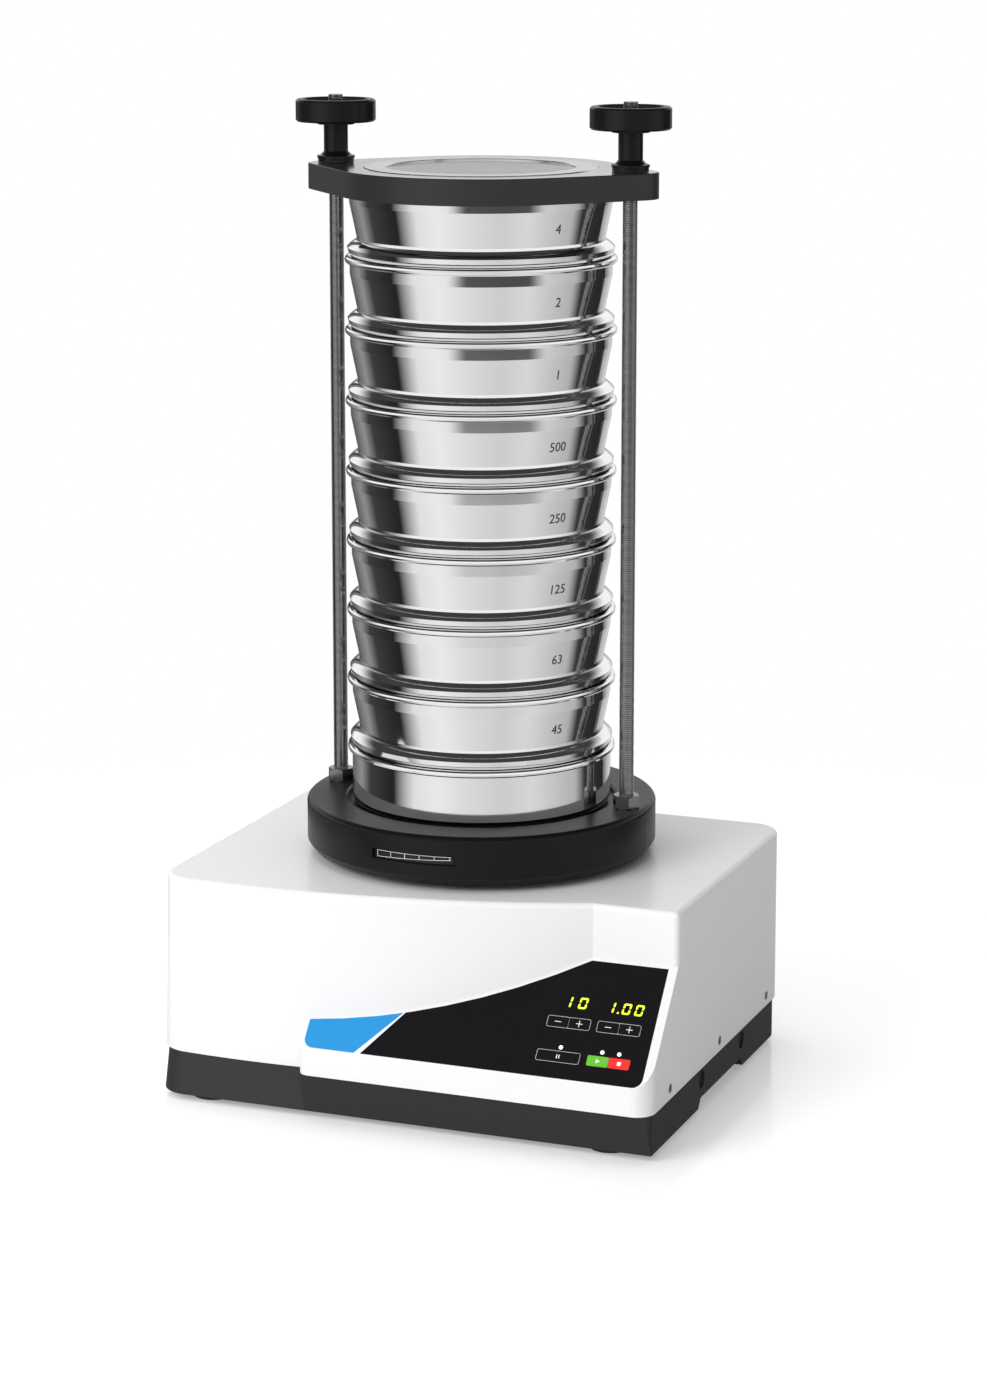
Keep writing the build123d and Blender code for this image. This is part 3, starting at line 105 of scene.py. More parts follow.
# Light and dark screens round the studio: degrees from the camera, and how bright each one is.
SCREENS = (
    (-180, 0.25),
    (-160, 0.12),
    (-135, 0.3),
    (-118, 0.05),
    (-84, 0.015),
    (-62, 0.85),
    (-40, 0.95),
    (-10, 0.8),
    (20, 0.7),
    (45, 0.78),
    (70, 0.62),
    (92, 0.5),
    (104, 0.04),
    (138, 0.02),
    (150, 0.5),
    (165, 0.7),
    (180, 0.25),
)
CAMERA_PLACE = (1.0399, -2.6278, 0.9612)
CAMERA_AZIMUTH = 21.196
CAMERA_PITCH = 10.930
CAMERA_LENS = 94.12
CAMERA_SHIFT = (-0.0022, -0.0991)
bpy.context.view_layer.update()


class ShakerSizes(bpy.types.PropertyGroup):
    """Sizes that a user may change."""

    thread_pitch: FloatProperty(
        name="Thread pitch", description="Rise of the rod thread in one turn", default=0.00175, unit="LENGTH"
    )
    thread_radius: FloatProperty(
        name="Thread radius", description="Outer radius of the rod thread", default=0.00597, unit="LENGTH"
    )
    thread_depth: FloatProperty(
        name="Thread depth", description="Depth of the rod thread", default=0.0009, unit="LENGTH"
    )
    thread_steps: IntProperty(
        name="Thread steps", description="Points in one turn of the thread", default=18, min=8, max=48
    )
    line_width: FloatProperty(
        name="Line width",
        description="Width of the printed lines on the panel",
        default=0.00028,
        unit="LENGTH",
    )
    mark_height: FloatProperty(
        name="Mark height", description="How far printed marks stand proud", default=0.00006, unit="LENGTH"
    )
    number_size: FloatProperty(
        name="Number size", description="Size of the numbers on the sieves", default=0.0105, unit="LENGTH"
    )


class ShakerColours(bpy.types.PropertyGroup):
    """Colours that a user may change."""

    shell: FloatVectorProperty(
        name="Housing",
        description="Colour of the painted housing",
        subtype="COLOR",
        size=3,
        default=(0.78, 0.78, 0.785),
    )
    tray: FloatVectorProperty(
        name="Tray",
        description="Colour of the dark tray",
        subtype="COLOR",
        size=3,
        default=(0.02, 0.02, 0.021),
    )
    black: FloatVectorProperty(
        name="Black parts",
        description="Colour of plate, lid and knobs",
        subtype="COLOR",
        size=3,
        default=(0.005, 0.005, 0.0055),
    )
    panel_black: FloatVectorProperty(
        name="Panel",
        description="Colour of the black part of the panel",
        subtype="COLOR",
        size=3,
        default=(0.008, 0.008, 0.009),
    )
    panel_blue: FloatVectorProperty(
        name="Panel field",
        description="Colour of the blue part of the panel",
        subtype="COLOR",
        size=3,
        default=(0.018, 0.27, 0.62),
    )
    digits: FloatVectorProperty(
        name="Digits",
        description="Colour of the lit digits",
        subtype="COLOR",
        size=3,
        default=(0.72, 0.86, 0.02),
    )
    start_key: FloatVectorProperty(
        name="Start key",
        description="Colour of the start key",
        subtype="COLOR",
        size=3,
        default=(0.13, 0.5, 0.03),
    )
    stop_key: FloatVectorProperty(
        name="Stop key",
        description="Colour of the stop key",
        subtype="COLOR",
        size=3,
        default=(0.85, 0.025, 0.02),
    )
    steel: FloatVectorProperty(
        name="Steel",
        description="Colour of the polished sieves",
        subtype="COLOR",
        size=3,
        default=(0.86, 0.86, 0.865),
    )


def sizes():
    return bpy.context.scene.shaker_sizes


def colours():
    return bpy.context.scene.shaker_colours


# Materials


def noise_group(name, scale, detail, stretch=(1.0, 1.0, 1.0)):
    """A shared effect: a fine noise from object coordinates, as a value from 0 to 1."""
    if name in bpy.data.node_groups:
        return bpy.data.node_groups[name]
    group = bpy.data.node_groups.new(name, "ShaderNodeTree")
    group.interface.new_socket("Value", in_out="OUTPUT", socket_type="NodeSocketFloat")
    nodes, links = group.nodes, group.links
    coords = nodes.new("ShaderNodeTexCoord")
    mapping = nodes.new("ShaderNodeMapping")
    mapping.inputs["Scale"].default_value = stretch
    noise = nodes.new("ShaderNodeTexNoise")
    noise.inputs["Scale"].default_value = scale
    noise.inputs["Detail"].default_value = detail
    out = nodes.new("NodeGroupOutput")
    links.new(coords.outputs["Object"], mapping.inputs["Vector"])
    links.new(mapping.outputs["Vector"], noise.inputs["Vector"])
    links.new(noise.outputs["Fac"], out.inputs["Value"])
    return group


def weave_group():
    """A shared effect: the height of woven wire, from crossed waves."""
    name = "woven_wire"
    if name in bpy.data.node_groups:
        return bpy.data.node_groups[name]
    group = bpy.data.node_groups.new(name, "ShaderNodeTree")
    group.interface.new_socket("Pitch", in_out="INPUT", socket_type="NodeSocketFloat")
    group.interface.new_socket("Height", in_out="OUTPUT", socket_type="NodeSocketFloat")
    nodes, links = group.nodes, group.links
    source = nodes.new("NodeGroupInput")
    out = nodes.new("NodeGroupOutput")
    coords = nodes.new("ShaderNodeTexCoord")
    split = nodes.new("ShaderNodeSeparateXYZ")
    links.new(coords.outputs["Object"], split.inputs["Vector"])
    waves = []
    for axis in ("X", "Y"):
        turn = nodes.new("ShaderNodeMath")
        turn.operation = "DIVIDE"
        links.new(split.outputs[axis], turn.inputs[0])
        links.new(source.outputs["Pitch"], turn.inputs[1])
        angle = nodes.new("ShaderNodeMath")
        angle.operation = "MULTIPLY"
        angle.inputs[1].default_value = 2 * math.pi
        links.new(turn.outputs[0], angle.inputs[0])
        wave = nodes.new("ShaderNodeMath")
        wave.operation = "SINE"
        links.new(angle.outputs[0], wave.inputs[0])
        waves.append(wave)
    top = nodes.new("ShaderNodeMath")
    top.operation = "MAXIMUM"
    links.new(waves[0].outputs[0], top.inputs[0])
    links.new(waves[1].outputs[0], top.inputs[1])
    links.new(top.outputs[0], out.inputs["Height"])
    return group


def principled(name, colour, roughness, metallic=0.0, **extra):
    """A new material with its Principled shader; constants go straight on the sockets."""
    material = bpy.data.materials.new(name)
    material.use_nodes = True
    shader = material.node_tree.nodes["Principled BSDF"]
    shader.inputs["Base Color"].default_value = (*colour[:3], 1.0)
    shader.inputs["Roughness"].default_value = roughness
    shader.inputs["Metallic"].default_value = metallic
    for socket, value in extra.items():
        shader.inputs[socket.replace("_", " ")].default_value = value
    material.diffuse_color = (*colour[:3], 1.0)
    return material, shader


def vary_roughness(material, shader, group, low, high):
    nodes, links = material.node_tree.nodes, material.node_tree.links
    effect = nodes.new("ShaderNodeGroup")
    effect.node_tree = group
    spread = nodes.new("ShaderNodeMapRange")
    spread.inputs["To Min"].default_value = low
    spread.inputs["To Max"].default_value = high
    links.new(effect.outputs["Value"], spread.inputs["Value"])
    links.new(spread.outputs["Result"], shader.inputs["Roughness"])


def add_bump(material, shader, group, strength, distance):
    nodes, links = material.node_tree.nodes, material.node_tree.links
    effect = nodes.new("ShaderNodeGroup")
    effect.node_tree = group
    bump = nodes.new("ShaderNodeBump")
    bump.inputs["Strength"].default_value = strength
    bump.inputs["Distance"].default_value = distance
    links.new(effect.outputs[0], bump.inputs["Height"])
    links.new(bump.outputs["Normal"], shader.inputs["Normal"])


def make_materials():
    """Every finish of the machine, by name."""
    tint = colours()
    grain = noise_group("paint_grain", 900.0, 2.0)
    cloud = noise_group("soft_cloud", 14.0, 3.0)
    spun = noise_group("spun_lines", 60.0, 2.0, (1.0, 1.0, 40.0))
    cast = noise_group("cast_skin", 400.0, 4.0)
    found = {}

    def keep(key, made, rough=None, bump=None):
        material, shader = made
        if rough:
            vary_roughness(material, shader, *rough)
        if bump:
            add_bump(material, shader, *bump)
        found[key] = material

    keep(
        "shell",
        principled("housing_paint", tint.shell, 0.32, Coat_Weight=0.15, Coat_Roughness=0.12),
        (cloud, 0.28, 0.38),
        (grain, 0.05, 0.0002),
    )
    keep("tray", principled("tray_paint", tint.tray, 0.5), (cloud, 0.42, 0.56), (grain, 0.15, 0.0003))
    keep(
        "black",
        principled("black_enamel", tint.black, 0.36, Specular_IOR_Level=0.2),
        (cloud, 0.28, 0.42),
        (grain, 0.12, 0.0003),
    )
    keep(
        "anodised",
        principled("black_anodised", tint.black, 0.3, Specular_IOR_Level=0.25),
        (cloud, 0.22, 0.36),
        (grain, 0.08, 0.0002),
    )
    keep(
        "lid_side",
        principled("lid_paint", (0.014, 0.014, 0.015), 0.42),
        (cloud, 0.36, 0.5),
        (grain, 0.1, 0.0002),
    )
    # Painted reflection: the lid top is bright metal, standing in for the white studio that the black lid
    # reflects.
    keep("lid_top", principled("lid_top_painted_reflection", (0.82, 0.82, 0.825), 0.14, 1.0), (cloud, 0.1, 0.18))
    keep(
        "steel",
        principled("polished_steel", tint.steel, 0.07, 1.0),
        (cloud, 0.045, 0.1),
        (spun, 0.03, 0.0001),
    )
    keep("lid_ring", principled("turned_aluminium", (0.8, 0.8, 0.81), 0.2, 1.0), (cloud, 0.16, 0.26))
    keep("fastener", principled("dark_steel", (0.26, 0.26, 0.265), 0.26, 1.0), (cloud, 0.2, 0.34))
    keep("thread", principled("thread_steel", (0.3, 0.3, 0.31), 0.2, 1.0), (cloud, 0.15, 0.26))
    keep("bright_screw", principled("bright_screw", (0.55, 0.55, 0.56), 0.25, 1.0), (cloud, 0.2, 0.34))
    keep("rubber", principled("rubber", (0.02, 0.02, 0.02), 0.75), (cloud, 0.65, 0.85), (grain, 0.3, 0.0003))
    keep(
        "panel_black",
        principled("panel_film_black", tint.panel_black, 0.2, Specular_IOR_Level=0.3),
        (cloud, 0.16, 0.26),
    )
    keep(
        "panel_blue",
        principled("panel_film_blue", tint.panel_blue, 0.3, Specular_IOR_Level=0.3),
        (cloud, 0.26, 0.36),
    )
    keep("key_black", principled("key_black", tint.panel_black, 0.2), (cloud, 0.16, 0.26))
    keep("key_green", principled("key_green", tint.start_key, 0.3), (cloud, 0.25, 0.35))
    keep("key_red", principled("key_red", tint.stop_key, 0.3), (cloud, 0.25, 0.35))
    keep("board", principled("circuit_board", (0.02, 0.12, 0.04), 0.5), (cast, 0.4, 0.6))
    keep(
        "copper",
        principled("copper_winding", (0.5, 0.17, 0.06), 0.3, 1.0),
        (cloud, 0.2, 0.4),
        (spun, 0.4, 0.0005),
    )
    keep(
        "iron",
        principled("cast_iron", (0.05, 0.05, 0.052), 0.7, 0.6),
        (cast, 0.55, 0.8),
        (cast, 0.5, 0.0006),
    )
    keep("plain_steel", principled("spring_steel", (0.35, 0.35, 0.36), 0.35, 1.0), (cloud, 0.28, 0.42))
    keep(
        "plastic",
        principled("entry_plastic", (0.015, 0.015, 0.015), 0.45),
        (cloud, 0.4, 0.5),
        (grain, 0.2, 0.0003),
    )
    keep("print", principled("printed_light_grey", (0.62, 0.62, 0.63), 0.4), (cloud, 0.36, 0.44))
    keep("print_white", principled("printed_white", (0.85, 0.85, 0.85), 0.4), (cloud, 0.36, 0.44))
    keep("engraved", principled("etched_grey", (0.035, 0.035, 0.036), 0.55), (cloud, 0.5, 0.6))
    lamp = principled("lamp_white", (0.8, 0.8, 0.78), 0.3)
    lamp[1].inputs["Emission Color"].default_value = (1.0, 1.0, 0.95, 1.0)
    lamp[1].inputs["Emission Strength"].default_value = 0.8
    keep("lamp", lamp, (cloud, 0.25, 0.35))
    lit = principled("lit_digits", tint.digits, 0.4)
    lit[1].inputs["Emission Color"].default_value = (*tint.digits, 1.0)
    lit[1].inputs["Emission Strength"].default_value = 0.75
    keep("digits", lit, (cloud, 0.35, 0.45))
    keep(
        "window",
        principled("clear_window", (0.55, 0.57, 0.58), 0.08, Transmission_Weight=0.55, IOR=1.49),
        (cloud, 0.06, 0.12),
    )
    for index, pitch in enumerate((0.0003, 0.0004, 0.0006, 0.0008, 0.0010)):
        material, shader = principled(f"woven_wire_{index + 1}", (0.42, 0.42, 0.43), 0.4, 1.0)
        nodes, links = material.node_tree.nodes, material.node_tree.links
        weave = nodes.new("ShaderNodeGroup")
        weave.node_tree = weave_group()
        weave.inputs["Pitch"].default_value = pitch
        # Painted shade: the base colour goes near black where the weave is low, in the openings between the
        # wires, and lighter on the wire crests.
        dark = nodes.new("ShaderNodeMapRange")
        dark.inputs["From Min"].default_value = -0.4
        dark.inputs["From Max"].default_value = 0.8
        dark.inputs["To Min"].default_value = 0.05
        dark.inputs["To Max"].default_value = 0.5
        links.new(weave.outputs["Height"], dark.inputs["Value"])
        links.new(dark.outputs["Result"], shader.inputs["Base Color"])
        bump = nodes.new("ShaderNodeBump")
        bump.inputs["Strength"].default_value = 0.6
        bump.inputs["Distance"].default_value = 0.0002
        links.new(weave.outputs["Height"], bump.inputs["Height"])
        links.new(bump.outputs["Normal"], shader.inputs["Normal"])
        found[f"weave_{index + 1}"] = material
    return found


NODE_FINISH = {
    "base_tray": "tray",
    "locating_strips": "tray",
    "upper_shell": "shell",
    "counter_mass": "iron",
    "magnet_core": "plain_steel",
    "magnet_coil": "copper",
    "leaf_springs": "plain_steel",
    "spring_clamps": "plain_steel",
    "drive_bellows": "rubber",
    "rubber_feet": "rubber",
    "foot_screws": "bright_screw",
    "shell_screws": "plain_steel",
    "panel_fascia": "panel_black",
    "display_modules": "panel_black",
    "status_lamps": "lamp",
    "control_board": "board",
    "power_board": "board",
    "mains_entry": "plastic",
    "mass_bolts": "bright_screw",
    "armature": "plain_steel",
    "spring_carrier": "iron",
    "sieve_plate": "black",
    "plate_screws": "bright_screw",
    "clamping_rods": "thread",
    "rod_nuts": "fastener",
    "amplitude_wedge": "panel_black",
    "collecting_pan": "steel",
    "clamping_lid": "lid_side",
    "lid_ring": "lid_ring",
    "lid_window": "window",
    "power_rocker": "key_black",
}
KEY_FINISH = {"start": "key_green", "stop": "key_red"}


def finish_of(node):
    """The finish of one CAD node, from its name."""
    if node in NODE_FINISH:
        return NODE_FINISH[node]
    if node.endswith("_frame"):
        return "steel"
    if node.endswith("_mesh"):
        return f"weave_{min(5, int(node.split('_')[1]))}"
    if node.endswith("_key"):
        return KEY_FINISH.get(node[:-4], "key_black")
    if node.endswith(("_knob", "_sleeve", "_washer")):
        return "anodised"
    raise ValueError(f"no finish for {node}")


def material(key):
    """A finish, made on first use."""
    if not FINISHES:
        FINISHES.update(make_materials())
    return FINISHES[key]


FINISHES = {}


# Mesh helpers


def add_mesh(name, points, faces, finish, body):
    """A new piece from points in metres, riding on a CAD body."""
    mesh = bpy.data.meshes.new(name)
    mesh.from_pydata(points, [], faces)
    mesh.update()
    piece = bpy.data.objects.new(name, mesh)
    bpy.context.scene.collection.objects.link(piece)
    mesh.materials.append(material(finish))
    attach(piece, body)
    return piece


def panel_point(x, s, height):
    """Where a point on the sloping panel is: x across, s down the slope, in mm; height in m."""
    drop = s / SLOPE_LENGTH
    out = height / SLOPE_LENGTH
    y = (PANEL_TOP_Y - PANEL_SLOPE * drop) * MM - out
    z = (PANEL_TOP_Z - drop) * MM + out * PANEL_SLOPE
    return (x * MM, y, z)


class Marks:
    """Gathers thin flat marks on the panel into one mesh."""

    def __init__(self, base):
        self.base = base
        self.points = []
        self.faces = []

    def plate(self, outline, thick=None):
        """A flat mark with a closed edge; outline runs clockwise seen from outside."""
        thick = thick or sizes().mark_height
        count = len(outline)
        first = len(self.points)
        for height in (self.base, self.base + thick):
            self.points += [panel_point(x, s, height) for x, s in outline]
        top = [first + count + i for i in range(count)]
        self.faces.append(tuple(reversed(top)))
        self.faces.append(tuple(first + i for i in range(count)))
        for i in range(count):
            j = (i + 1) % count
            self.faces.append((first + i, first + count + i, first + count + j, first + j))

    def bar(self, x0, x1, s0, s1):
        self.plate([(x0, s0), (x1, s0), (x1, s1), (x0, s1)])

    def frame(self, x, s, width, height, radius, line):
        """A rounded outline drawn as a closed strip."""
        outer = rounded(x, s, width, height, radius)
        inner = rounded(x, s, width - 2 * line, height - 2 * line, radius - line)
        count = len(outer)
        thick = sizes().mark_height
        first = len(self.points)
        for ring in (outer, inner):
            for level in (self.base, self.base + thick):
                self.points += [panel_point(a, b, level) for a, b in ring]
        o_low, o_top, i_low, i_top = (first + count * k for k in range(4))
        for i in range(count):
            j = (i + 1) % count
            self.faces.append((o_top + j, o_top + i, i_top + i, i_top + j))
            self.faces.append((o_low + i, o_low + j, i_low + j, i_low + i))
            self.faces.append((o_low + i, o_top + i, o_top + j, o_low + j))
            self.faces.append((i_low + j, i_top + j, i_top + i, i_low + i))

    def build(self, name, finish, body):
        return add_mesh(name, self.points, self.faces, finish, body)


def rounded(x, s, width, height, radius):
    """Points of a rounded rectangle, clockwise seen from outside."""
    points = []
    steps = 6
    corners = ((1, -1, -90), (1, 1, 0), (-1, 1, 90), (-1, -1, 180))
    for side_x, side_s, start in corners:
        cx = x + side_x * (width / 2 - radius)
        cs = s + side_s * (height / 2 - radius)
        for step in range(steps + 1):
            angle = math.radians(start + 90 * step / steps)
            points.append((cx + radius * math.cos(angle), cs + radius * math.sin(angle)))
    return points


SEGMENTS = {"0": "abcdef", "1": "bc", "2": "abged", "5": "afgcd"}


def lit_digit(marks, char, x, s, width, height):
    """One slanted seven-segment digit. x is the left end, s the top."""
    bar = 0.17 * width + 0.35
    gap = 0.22
    lean = 0.12
    half = height / 2

    def place(u, v):
        return (x + u + lean * (height - v), s + v)

    shapes = {
        "a": (0, width, 0, bar, "h"),
        "g": (0, width, half - bar / 2, half + bar / 2, "h"),
        "d": (0, width, height - bar, height, "h"),
        "f": (0, bar, 0, half, "v"),
        "b": (width - bar, width, 0, half, "v"),
        "e": (0, bar, half, height, "v"),
        "c": (width - bar, width, half, height, "v"),
    }
    for segment in SEGMENTS[char]:
        u0, u1, v0, v1, way = shapes[segment]
        cut = bar / 2
        if way == "h":
            u0, u1 = u0 + gap, u1 - gap
            mid = (v0 + v1) / 2
            outline = [(u0, mid), (u0 + cut, v0), (u1 - cut, v0), (u1, mid), (u1 - cut, v1), (u0 + cut, v1)]
        else:
            v0, v1 = v0 + gap, v1 - gap
            mid = (u0 + u1) / 2
            outline = [(mid, v0), (u1, v0 + cut), (u1, v1 - cut), (mid, v1), (u0, v1 - cut), (u0, v0 + cut)]
        marks.plate([place(u, v) for u, v in outline])


def arc_strip(points, faces, radius, thick, angles, heights):
    """Adds a thin closed strip on a cylinder about the stack axis; angles from the front, in degrees."""
    steps = max(1, int(abs(angles[1] - angles[0]) / 1.5))
    first = len(points)
    for step in range(steps + 1):
        share = step / steps
        angle = math.radians(angles[0] + (angles[1] - angles[0]) * share - 90)
        z0 = heights[0][0] + (heights[1][0] - heights[0][0]) * share
        z1 = heights[0][1] + (heights[1][1] - heights[0][1]) * share
        for r in (radius, radius + thick):
            for z in (z0, z1):
                points.append((r * math.cos(angle) * MM, (STACK_Y + r * math.sin(angle)) * MM, z * MM))
    for step in range(steps):
        a = first + 4 * step
        b = a + 4
        faces.append((a + 2, b + 2, b + 3, a + 3))
        faces.append((b, a, a + 1, b + 1))
        faces.append((a + 3, b + 3, b + 1, a + 1))
        faces.append((a, b, b + 2, a + 2))
    end = first + 4 * steps
    faces.append((first, first + 2, first + 3, first + 1))
    faces.append((end, end + 1, end + 3, end + 2))


# Geometry Nodes


def node_chain(name, inputs):
    """A new geometry node group with named inputs and one geometry output."""
    tree = bpy.data.node_groups.new(name, "GeometryNodeTree")
    for title, kind, value in inputs:
        socket = tree.interface.new_socket(title, in_out="INPUT", socket_type=kind)
        if value is not None:
            socket.default_value = value
    tree.interface.new_socket("Geometry", in_out="OUTPUT", socket_type="NodeSocketGeometry")
    return tree, tree.nodes.new("NodeGroupInput"), tree.nodes.new("NodeGroupOutput")


def apply_nodes(name, tree, values):
    """Runs a geometry node group on an empty mesh and keeps the mesh it gives."""
    holder_mesh = bpy.data.meshes.new(name + "_seed")
    holder = bpy.data.objects.new(name + "_holder", holder_mesh)
    bpy.context.scene.collection.objects.link(holder)
    modifier = holder.modifiers.new("nodes", "NODES")
    modifier.node_group = tree
    for item in tree.interface.items_tree:
        if item.in_out == "INPUT" and item.name in values:
            modifier[item.identifier] = values[item.name]
    holder.update_tag()
    depsgraph = bpy.context.evaluated_depsgraph_get()
    depsgraph.update()
    mesh = bpy.data.meshes.new_from_object(holder.evaluated_get(depsgraph))
    mesh.name = name
    holder.modifiers.remove(modifier)
    bpy.data.objects.remove(holder)
    bpy.data.meshes.remove(holder_mesh)
    piece = bpy.data.objects.new(name, mesh)
    bpy.context.scene.collection.objects.link(piece)
    return piece


def thread_tree():
    """A rod: a core cylinder with a ridge wound round it, at two places."""
    tree, source, out = node_chain(
        "threaded_rods",
        (
            ("Turns", "NodeSocketFloat", 10.0),
            ("Steps", "NodeSocketInt", 16),
            ("Pitch", "NodeSocketFloat", 0.00175),
            ("Radius", "NodeSocketFloat", 0.006),
            ("Depth", "NodeSocketFloat", 0.0009),
            ("Bottom", "NodeSocketFloat", 0.0),
            ("Spacing", "NodeSocketFloat", 0.2),
            ("Axis Y", "NodeSocketFloat", 0.0),
            ("Material", "NodeSocketMaterial", None),
        ),
    )
    nodes, links = tree.nodes, tree.links

    def maths(operation, first, second):
        node = nodes.new("ShaderNodeMath")
        node.operation = operation
        for index, value in enumerate((first, second)):
            if isinstance(value, (int, float)):
                node.inputs[index].default_value = value
            else:
                links.new(value, node.inputs[index])
        return node.outputs[0]

    half_depth = maths("DIVIDE", source.outputs["Depth"], 2.0)
    ridge = maths("SUBTRACT", source.outputs["Radius"], half_depth)
    height = maths("MULTIPLY", source.outputs["Turns"], source.outputs["Pitch"])
    spiral = nodes.new("GeometryNodeCurveSpiral")
    links.new(source.outputs["Steps"], spiral.inputs["Resolution"])
    links.new(source.outputs["Turns"], spiral.inputs["Rotations"])
    links.new(ridge, spiral.inputs["Start Radius"])
    links.new(ridge, spiral.inputs["End Radius"])
    links.new(height, spiral.inputs["Height"])
    profile = nodes.new("GeometryNodeCurvePrimitiveCircle")
    profile.inputs["Resolution"].default_value = 4
    links.new(half_depth, profile.inputs["Radius"])
    wound = nodes.new("GeometryNodeCurveToMesh")
    links.new(spiral.outputs["Curve"], wound.inputs["Curve"])
    links.new(profile.outputs["Curve"], wound.inputs["Profile Curve"])
    wound.inputs["Fill Caps"].default_value = True
    core = nodes.new("GeometryNodeMeshCylinder")
    core.inputs["Vertices"].default_value = 24
    links.new(ridge, core.inputs["Radius"])
    full = maths("ADD", height, source.outputs["Pitch"])
    links.new(full, core.inputs["Depth"])
    lift = nodes.new("ShaderNodeCombineXYZ")
    links.new(maths("DIVIDE", height, 2.0), lift.inputs["Z"])
    raise_core = nodes.new("GeometryNodeTransform")
    links.new(core.outputs["Mesh"], raise_core.inputs["Geometry"])
    links.new(lift.outputs["Vector"], raise_core.inputs["Translation"])
    rod = nodes.new("GeometryNodeJoinGeometry")
    links.new(wound.outputs["Mesh"], rod.inputs["Geometry"])
    links.new(raise_core.outputs["Geometry"], rod.inputs["Geometry"])
    places = nodes.new("GeometryNodeMeshLine")
    places.mode = "OFFSET"
    places.inputs["Count"].default_value = 2
    start = nodes.new("ShaderNodeCombineXYZ")
    links.new(maths("MULTIPLY", source.outputs["Spacing"], -0.5), start.inputs["X"])
    links.new(source.outputs["Axis Y"], start.inputs["Y"])
    links.new(source.outputs["Bottom"], start.inputs["Z"])
    step = nodes.new("ShaderNodeCombineXYZ")
    links.new(source.outputs["Spacing"], step.inputs["X"])
    links.new(start.outputs["Vector"], places.inputs["Start Location"])
    links.new(step.outputs["Vector"], places.inputs["Offset"])
    stand = nodes.new("GeometryNodeInstanceOnPoints")
    links.new(places.outputs["Mesh"], stand.inputs["Points"])
    links.new(rod.outputs["Geometry"], stand.inputs["Instance"])
    real = nodes.new("GeometryNodeRealizeInstances")
    links.new(stand.outputs["Instances"], real.inputs["Geometry"])
    paint = nodes.new("GeometryNodeSetMaterial")
    links.new(real.outputs["Geometry"], paint.inputs["Geometry"])
    links.new(source.outputs["Material"], paint.inputs["Material"])
    links.new(paint.outputs["Geometry"], out.inputs["Geometry"])
    return tree


def weave_tree():
    """Woven wire in a round frame: two layers of wires, each cut to the chord it spans."""
    tree, source, out = node_chain(
        "woven_disc",
        (
            ("Count", "NodeSocketInt", 20),
            ("Pitch", "NodeSocketFloat", 0.005),
            ("Wire", "NodeSocketFloat", 0.001),
            ("Radius", "NodeSocketFloat", 0.0959),
            ("Height", "NodeSocketFloat", 0.0),
            ("Axis Y", "NodeSocketFloat", 0.0),
            ("Material", "NodeSocketMaterial", None),
        ),
    )
    nodes, links = tree.nodes, tree.links

    def maths(operation, first, second=0.0):
        node = nodes.new("ShaderNodeMath")
        node.operation = operation
        for index, value in enumerate((first, second)):
            if isinstance(value, (int, float)):
                node.inputs[index].default_value = value
            else:
                links.new(value, node.inputs[index])
        return node.outputs[0]

    def vector(x=None, y=None, z=None):
        node = nodes.new("ShaderNodeCombineXYZ")
        for name, value in (("X", x), ("Y", y), ("Z", z)):
            if value is None:
                continue
            if isinstance(value, (int, float)):
                node.inputs[name].default_value = value
            else:
                links.new(value, node.inputs[name])
        return node.outputs["Vector"]

    span = maths("MULTIPLY", maths("SUBTRACT", source.outputs["Count"], 1.0), source.outputs["Pitch"])
    places = nodes.new("GeometryNodeMeshLine")
    places.mode = "OFFSET"
    links.new(source.outputs["Count"], places.inputs["Count"])
    links.new(vector(y=maths("MULTIPLY", span, -0.5)), places.inputs["Start Location"])
    links.new(vector(y=source.outputs["Pitch"]), places.inputs["Offset"])
    wire = nodes.new("GeometryNodeMeshCylinder")
    wire.inputs["Vertices"].default_value = 8
    wire.inputs["Depth"].default_value = 2.0
    links.new(maths("DIVIDE", source.outputs["Wire"], 2.0), wire.inputs["Radius"])
    lie = nodes.new("GeometryNodeTransform")
    lie.inputs["Rotation"].default_value = (0.0, math.pi / 2, 0.0)
    links.new(wire.outputs["Mesh"], lie.inputs["Geometry"])
    here = nodes.new("GeometryNodeInputPosition")
    split = nodes.new("ShaderNodeSeparateXYZ")
    links.new(here.outputs["Position"], split.inputs["Vector"])
    radius_2 = maths("MULTIPLY", source.outputs["Radius"], source.outputs["Radius"])
    across_2 = maths("MULTIPLY", split.outputs["Y"], split.outputs["Y"])
    chord = maths("SQRT", maths("MAXIMUM", maths("SUBTRACT", radius_2, across_2), 1e-9))
    layer = nodes.new("GeometryNodeInstanceOnPoints")
    links.new(places.outputs["Mesh"], layer.inputs["Points"])
    links.new(lie.outputs["Geometry"], layer.inputs["Instance"])
    links.new(vector(chord, 1.0, 1.0), layer.inputs["Scale"])
    join = nodes.new("GeometryNodeJoinGeometry")
    for turn, side in ((0.0, -0.32), (math.pi / 2, 0.32)):
        place = nodes.new("GeometryNodeTransform")
        place.inputs["Rotation"].default_value = (0.0, 0.0, turn)
        rise = maths("ADD", source.outputs["Height"], maths("MULTIPLY", source.outputs["Wire"], side))
        links.new(vector(0.0, source.outputs["Axis Y"], rise), place.inputs["Translation"])
        links.new(layer.outputs["Instances"], place.inputs["Geometry"])
        links.new(place.outputs["Geometry"], join.inputs["Geometry"])
    real = nodes.new("GeometryNodeRealizeInstances")
    links.new(join.outputs["Geometry"], real.inputs["Geometry"])
    paint = nodes.new("GeometryNodeSetMaterial")
    links.new(real.outputs["Geometry"], paint.inputs["Geometry"])
    links.new(source.outputs["Material"], paint.inputs["Material"])
    links.new(paint.outputs["Geometry"], out.inputs["Geometry"])
    return tree


# Operators


